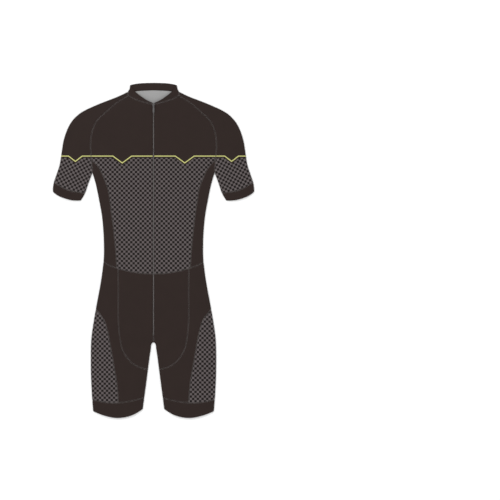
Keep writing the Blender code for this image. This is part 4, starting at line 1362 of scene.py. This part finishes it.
# Reach from the bar, half the width, and how far down to the end's level
BLADE_ROWS = (
    (0.0012, 0.0015, 0.0), (0.0050, 0.0016, 0.0), (0.0070, 0.0022, 0.10), (0.0085, 0.0029, 0.25),
    (0.0120, 0.0030, 0.45), (0.0160, 0.0030, 0.68), (0.0195, 0.0030, 0.87), (0.0215, 0.0030, 0.95),
    (0.0225, 0.0026, 0.98), (PULL_LENGTH, 0.0017, 1.0),
)
end_level = float(front_face([[0.0, SLIDER_LEVEL - PULL_LENGTH]])[0]) + ZIP_PROUD + REST_GAP
drop = axis[2] - end_level - PULL_THICKNESS / 2
blade = []
for reach, half, fall in BLADE_ROWS:
    y, z = axis[1] - reach, axis[2] - fall * drop
    blade.append(box_ring(-half, half, y, z - PULL_THICKNESS / 2, z + PULL_THICKNESS / 2))
parts = [rounded_solid("pull_blade", blade, BLADE_BEVEL)]
for reach in RIDGES:
    fall = np.interp(reach, [row[0] for row in BLADE_ROWS], [row[2] for row in BLADE_ROWS])
    middle = (0.0, axis[1] - reach, axis[2] - fall * drop + PULL_THICKNESS / 2 - RIDGE_SINK)
    size = (RIDGE_RADIUS, RIDGE_HALF_LENGTH, RIDGE_SIDES)
    parts.append(round_bar("pull_ridge", middle, size, RIDGE_BEVEL))
half_wall, half_width = (EYE_RADIUS - EYE_BORE) / 2, EYE_WIDTH / 2
eye_profile = []
for k in range(EYE_SIDES):
    turn = 2 * math.pi * k / EYE_SIDES
    square = 1 / max(abs(math.cos(turn)), abs(math.sin(turn))) ** EYE_SQUARENESS
    across, thick = half_width * math.cos(turn) * square, half_wall * math.sin(turn) * square
    radius = (EYE_RADIUS + EYE_BORE) / 2 + np.clip(thick, -half_wall, half_wall)
    eye_profile.append((np.clip(across, -half_width, half_width), radius))
eye_rings = []
for i in range(EYE_STEPS):
    y, z = math.cos(2 * math.pi * i / EYE_STEPS), math.sin(2 * math.pi * i / EYE_STEPS)
    eye_rings.append([(x, axis[1] + radius * y, axis[2] + radius * z) for x, radius in eye_profile])
parts.append(ring_mesh("pull_eye", eye_rings, is_loop=True))
tab = joined("pull_tab_cast", parts, zip_metal)
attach(tab, "pull")
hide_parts("pull_tab")

# Room
# A pale floor, a soft studio light from above and a camera that looks straight down, as the drawing
# does. One pixel of the picture is 3.2 mm, and the suit lies left of the middle.
PIXEL = 0.0032
PICTURE = 500
SUIT_COLUMN, SUIT_ROW = 153.5, 250.45
CAMERA_HEIGHT = 8.0
FLOOR_REACH = 6.0
floor_mesh = bpy.data.meshes.new("floor")
corners = [(x * FLOOR_REACH, y * FLOOR_REACH, 0) for x, y in ((-1, -1), (1, -1), (1, 1), (-1, 1))]
floor_mesh.from_pydata(corners, [], [(0, 1, 2, 3)])
paint = {"Base Color": (0.90, 0.90, 0.90, 1.0), "Roughness": 0.9, "Specular IOR Level": 0.1}
floor = placed("floor", floor_mesh, new_finish("floor_paint", paint)[0])

world = bpy.data.worlds.new("studio")
world.use_nodes = True
sky = world.node_tree.nodes["Background"].inputs
sky["Color"].default_value = (1.0, 1.0, 1.0, 1.0)
sky["Strength"].default_value = 1.0
bpy.context.scene.world = world
for name, place, size, power in (
    ("key", (-2.6, 2.2, 3.6), 1.8, 75.0),
    ("fill", (3.2, -2.6, 4.2), 3.0, 20.0),
):
    lamp = bpy.data.lights.new(name, "AREA")
    lamp.size = size
    lamp.energy = power
    light = bpy.data.objects.new(name, lamp)
    light.location = place
    light.rotation_euler = (-light.location).to_track_quat("-Z", "Y").to_euler()
    bpy.context.scene.collection.objects.link(light)

lens = bpy.data.cameras.new("camera")
lens.type = "ORTHO"
lens.ortho_scale = PICTURE * PIXEL
camera = bpy.data.objects.new("camera", lens)
view_centre = ((PICTURE / 2 - SUIT_COLUMN) * PIXEL, (SUIT_ROW - PICTURE / 2) * PIXEL)
camera.location = (*view_centre, CAMERA_HEIGHT)
bpy.context.scene.collection.objects.link(camera)
bpy.context.scene.camera = camera
bpy.context.scene.view_settings.view_transform = "Standard"
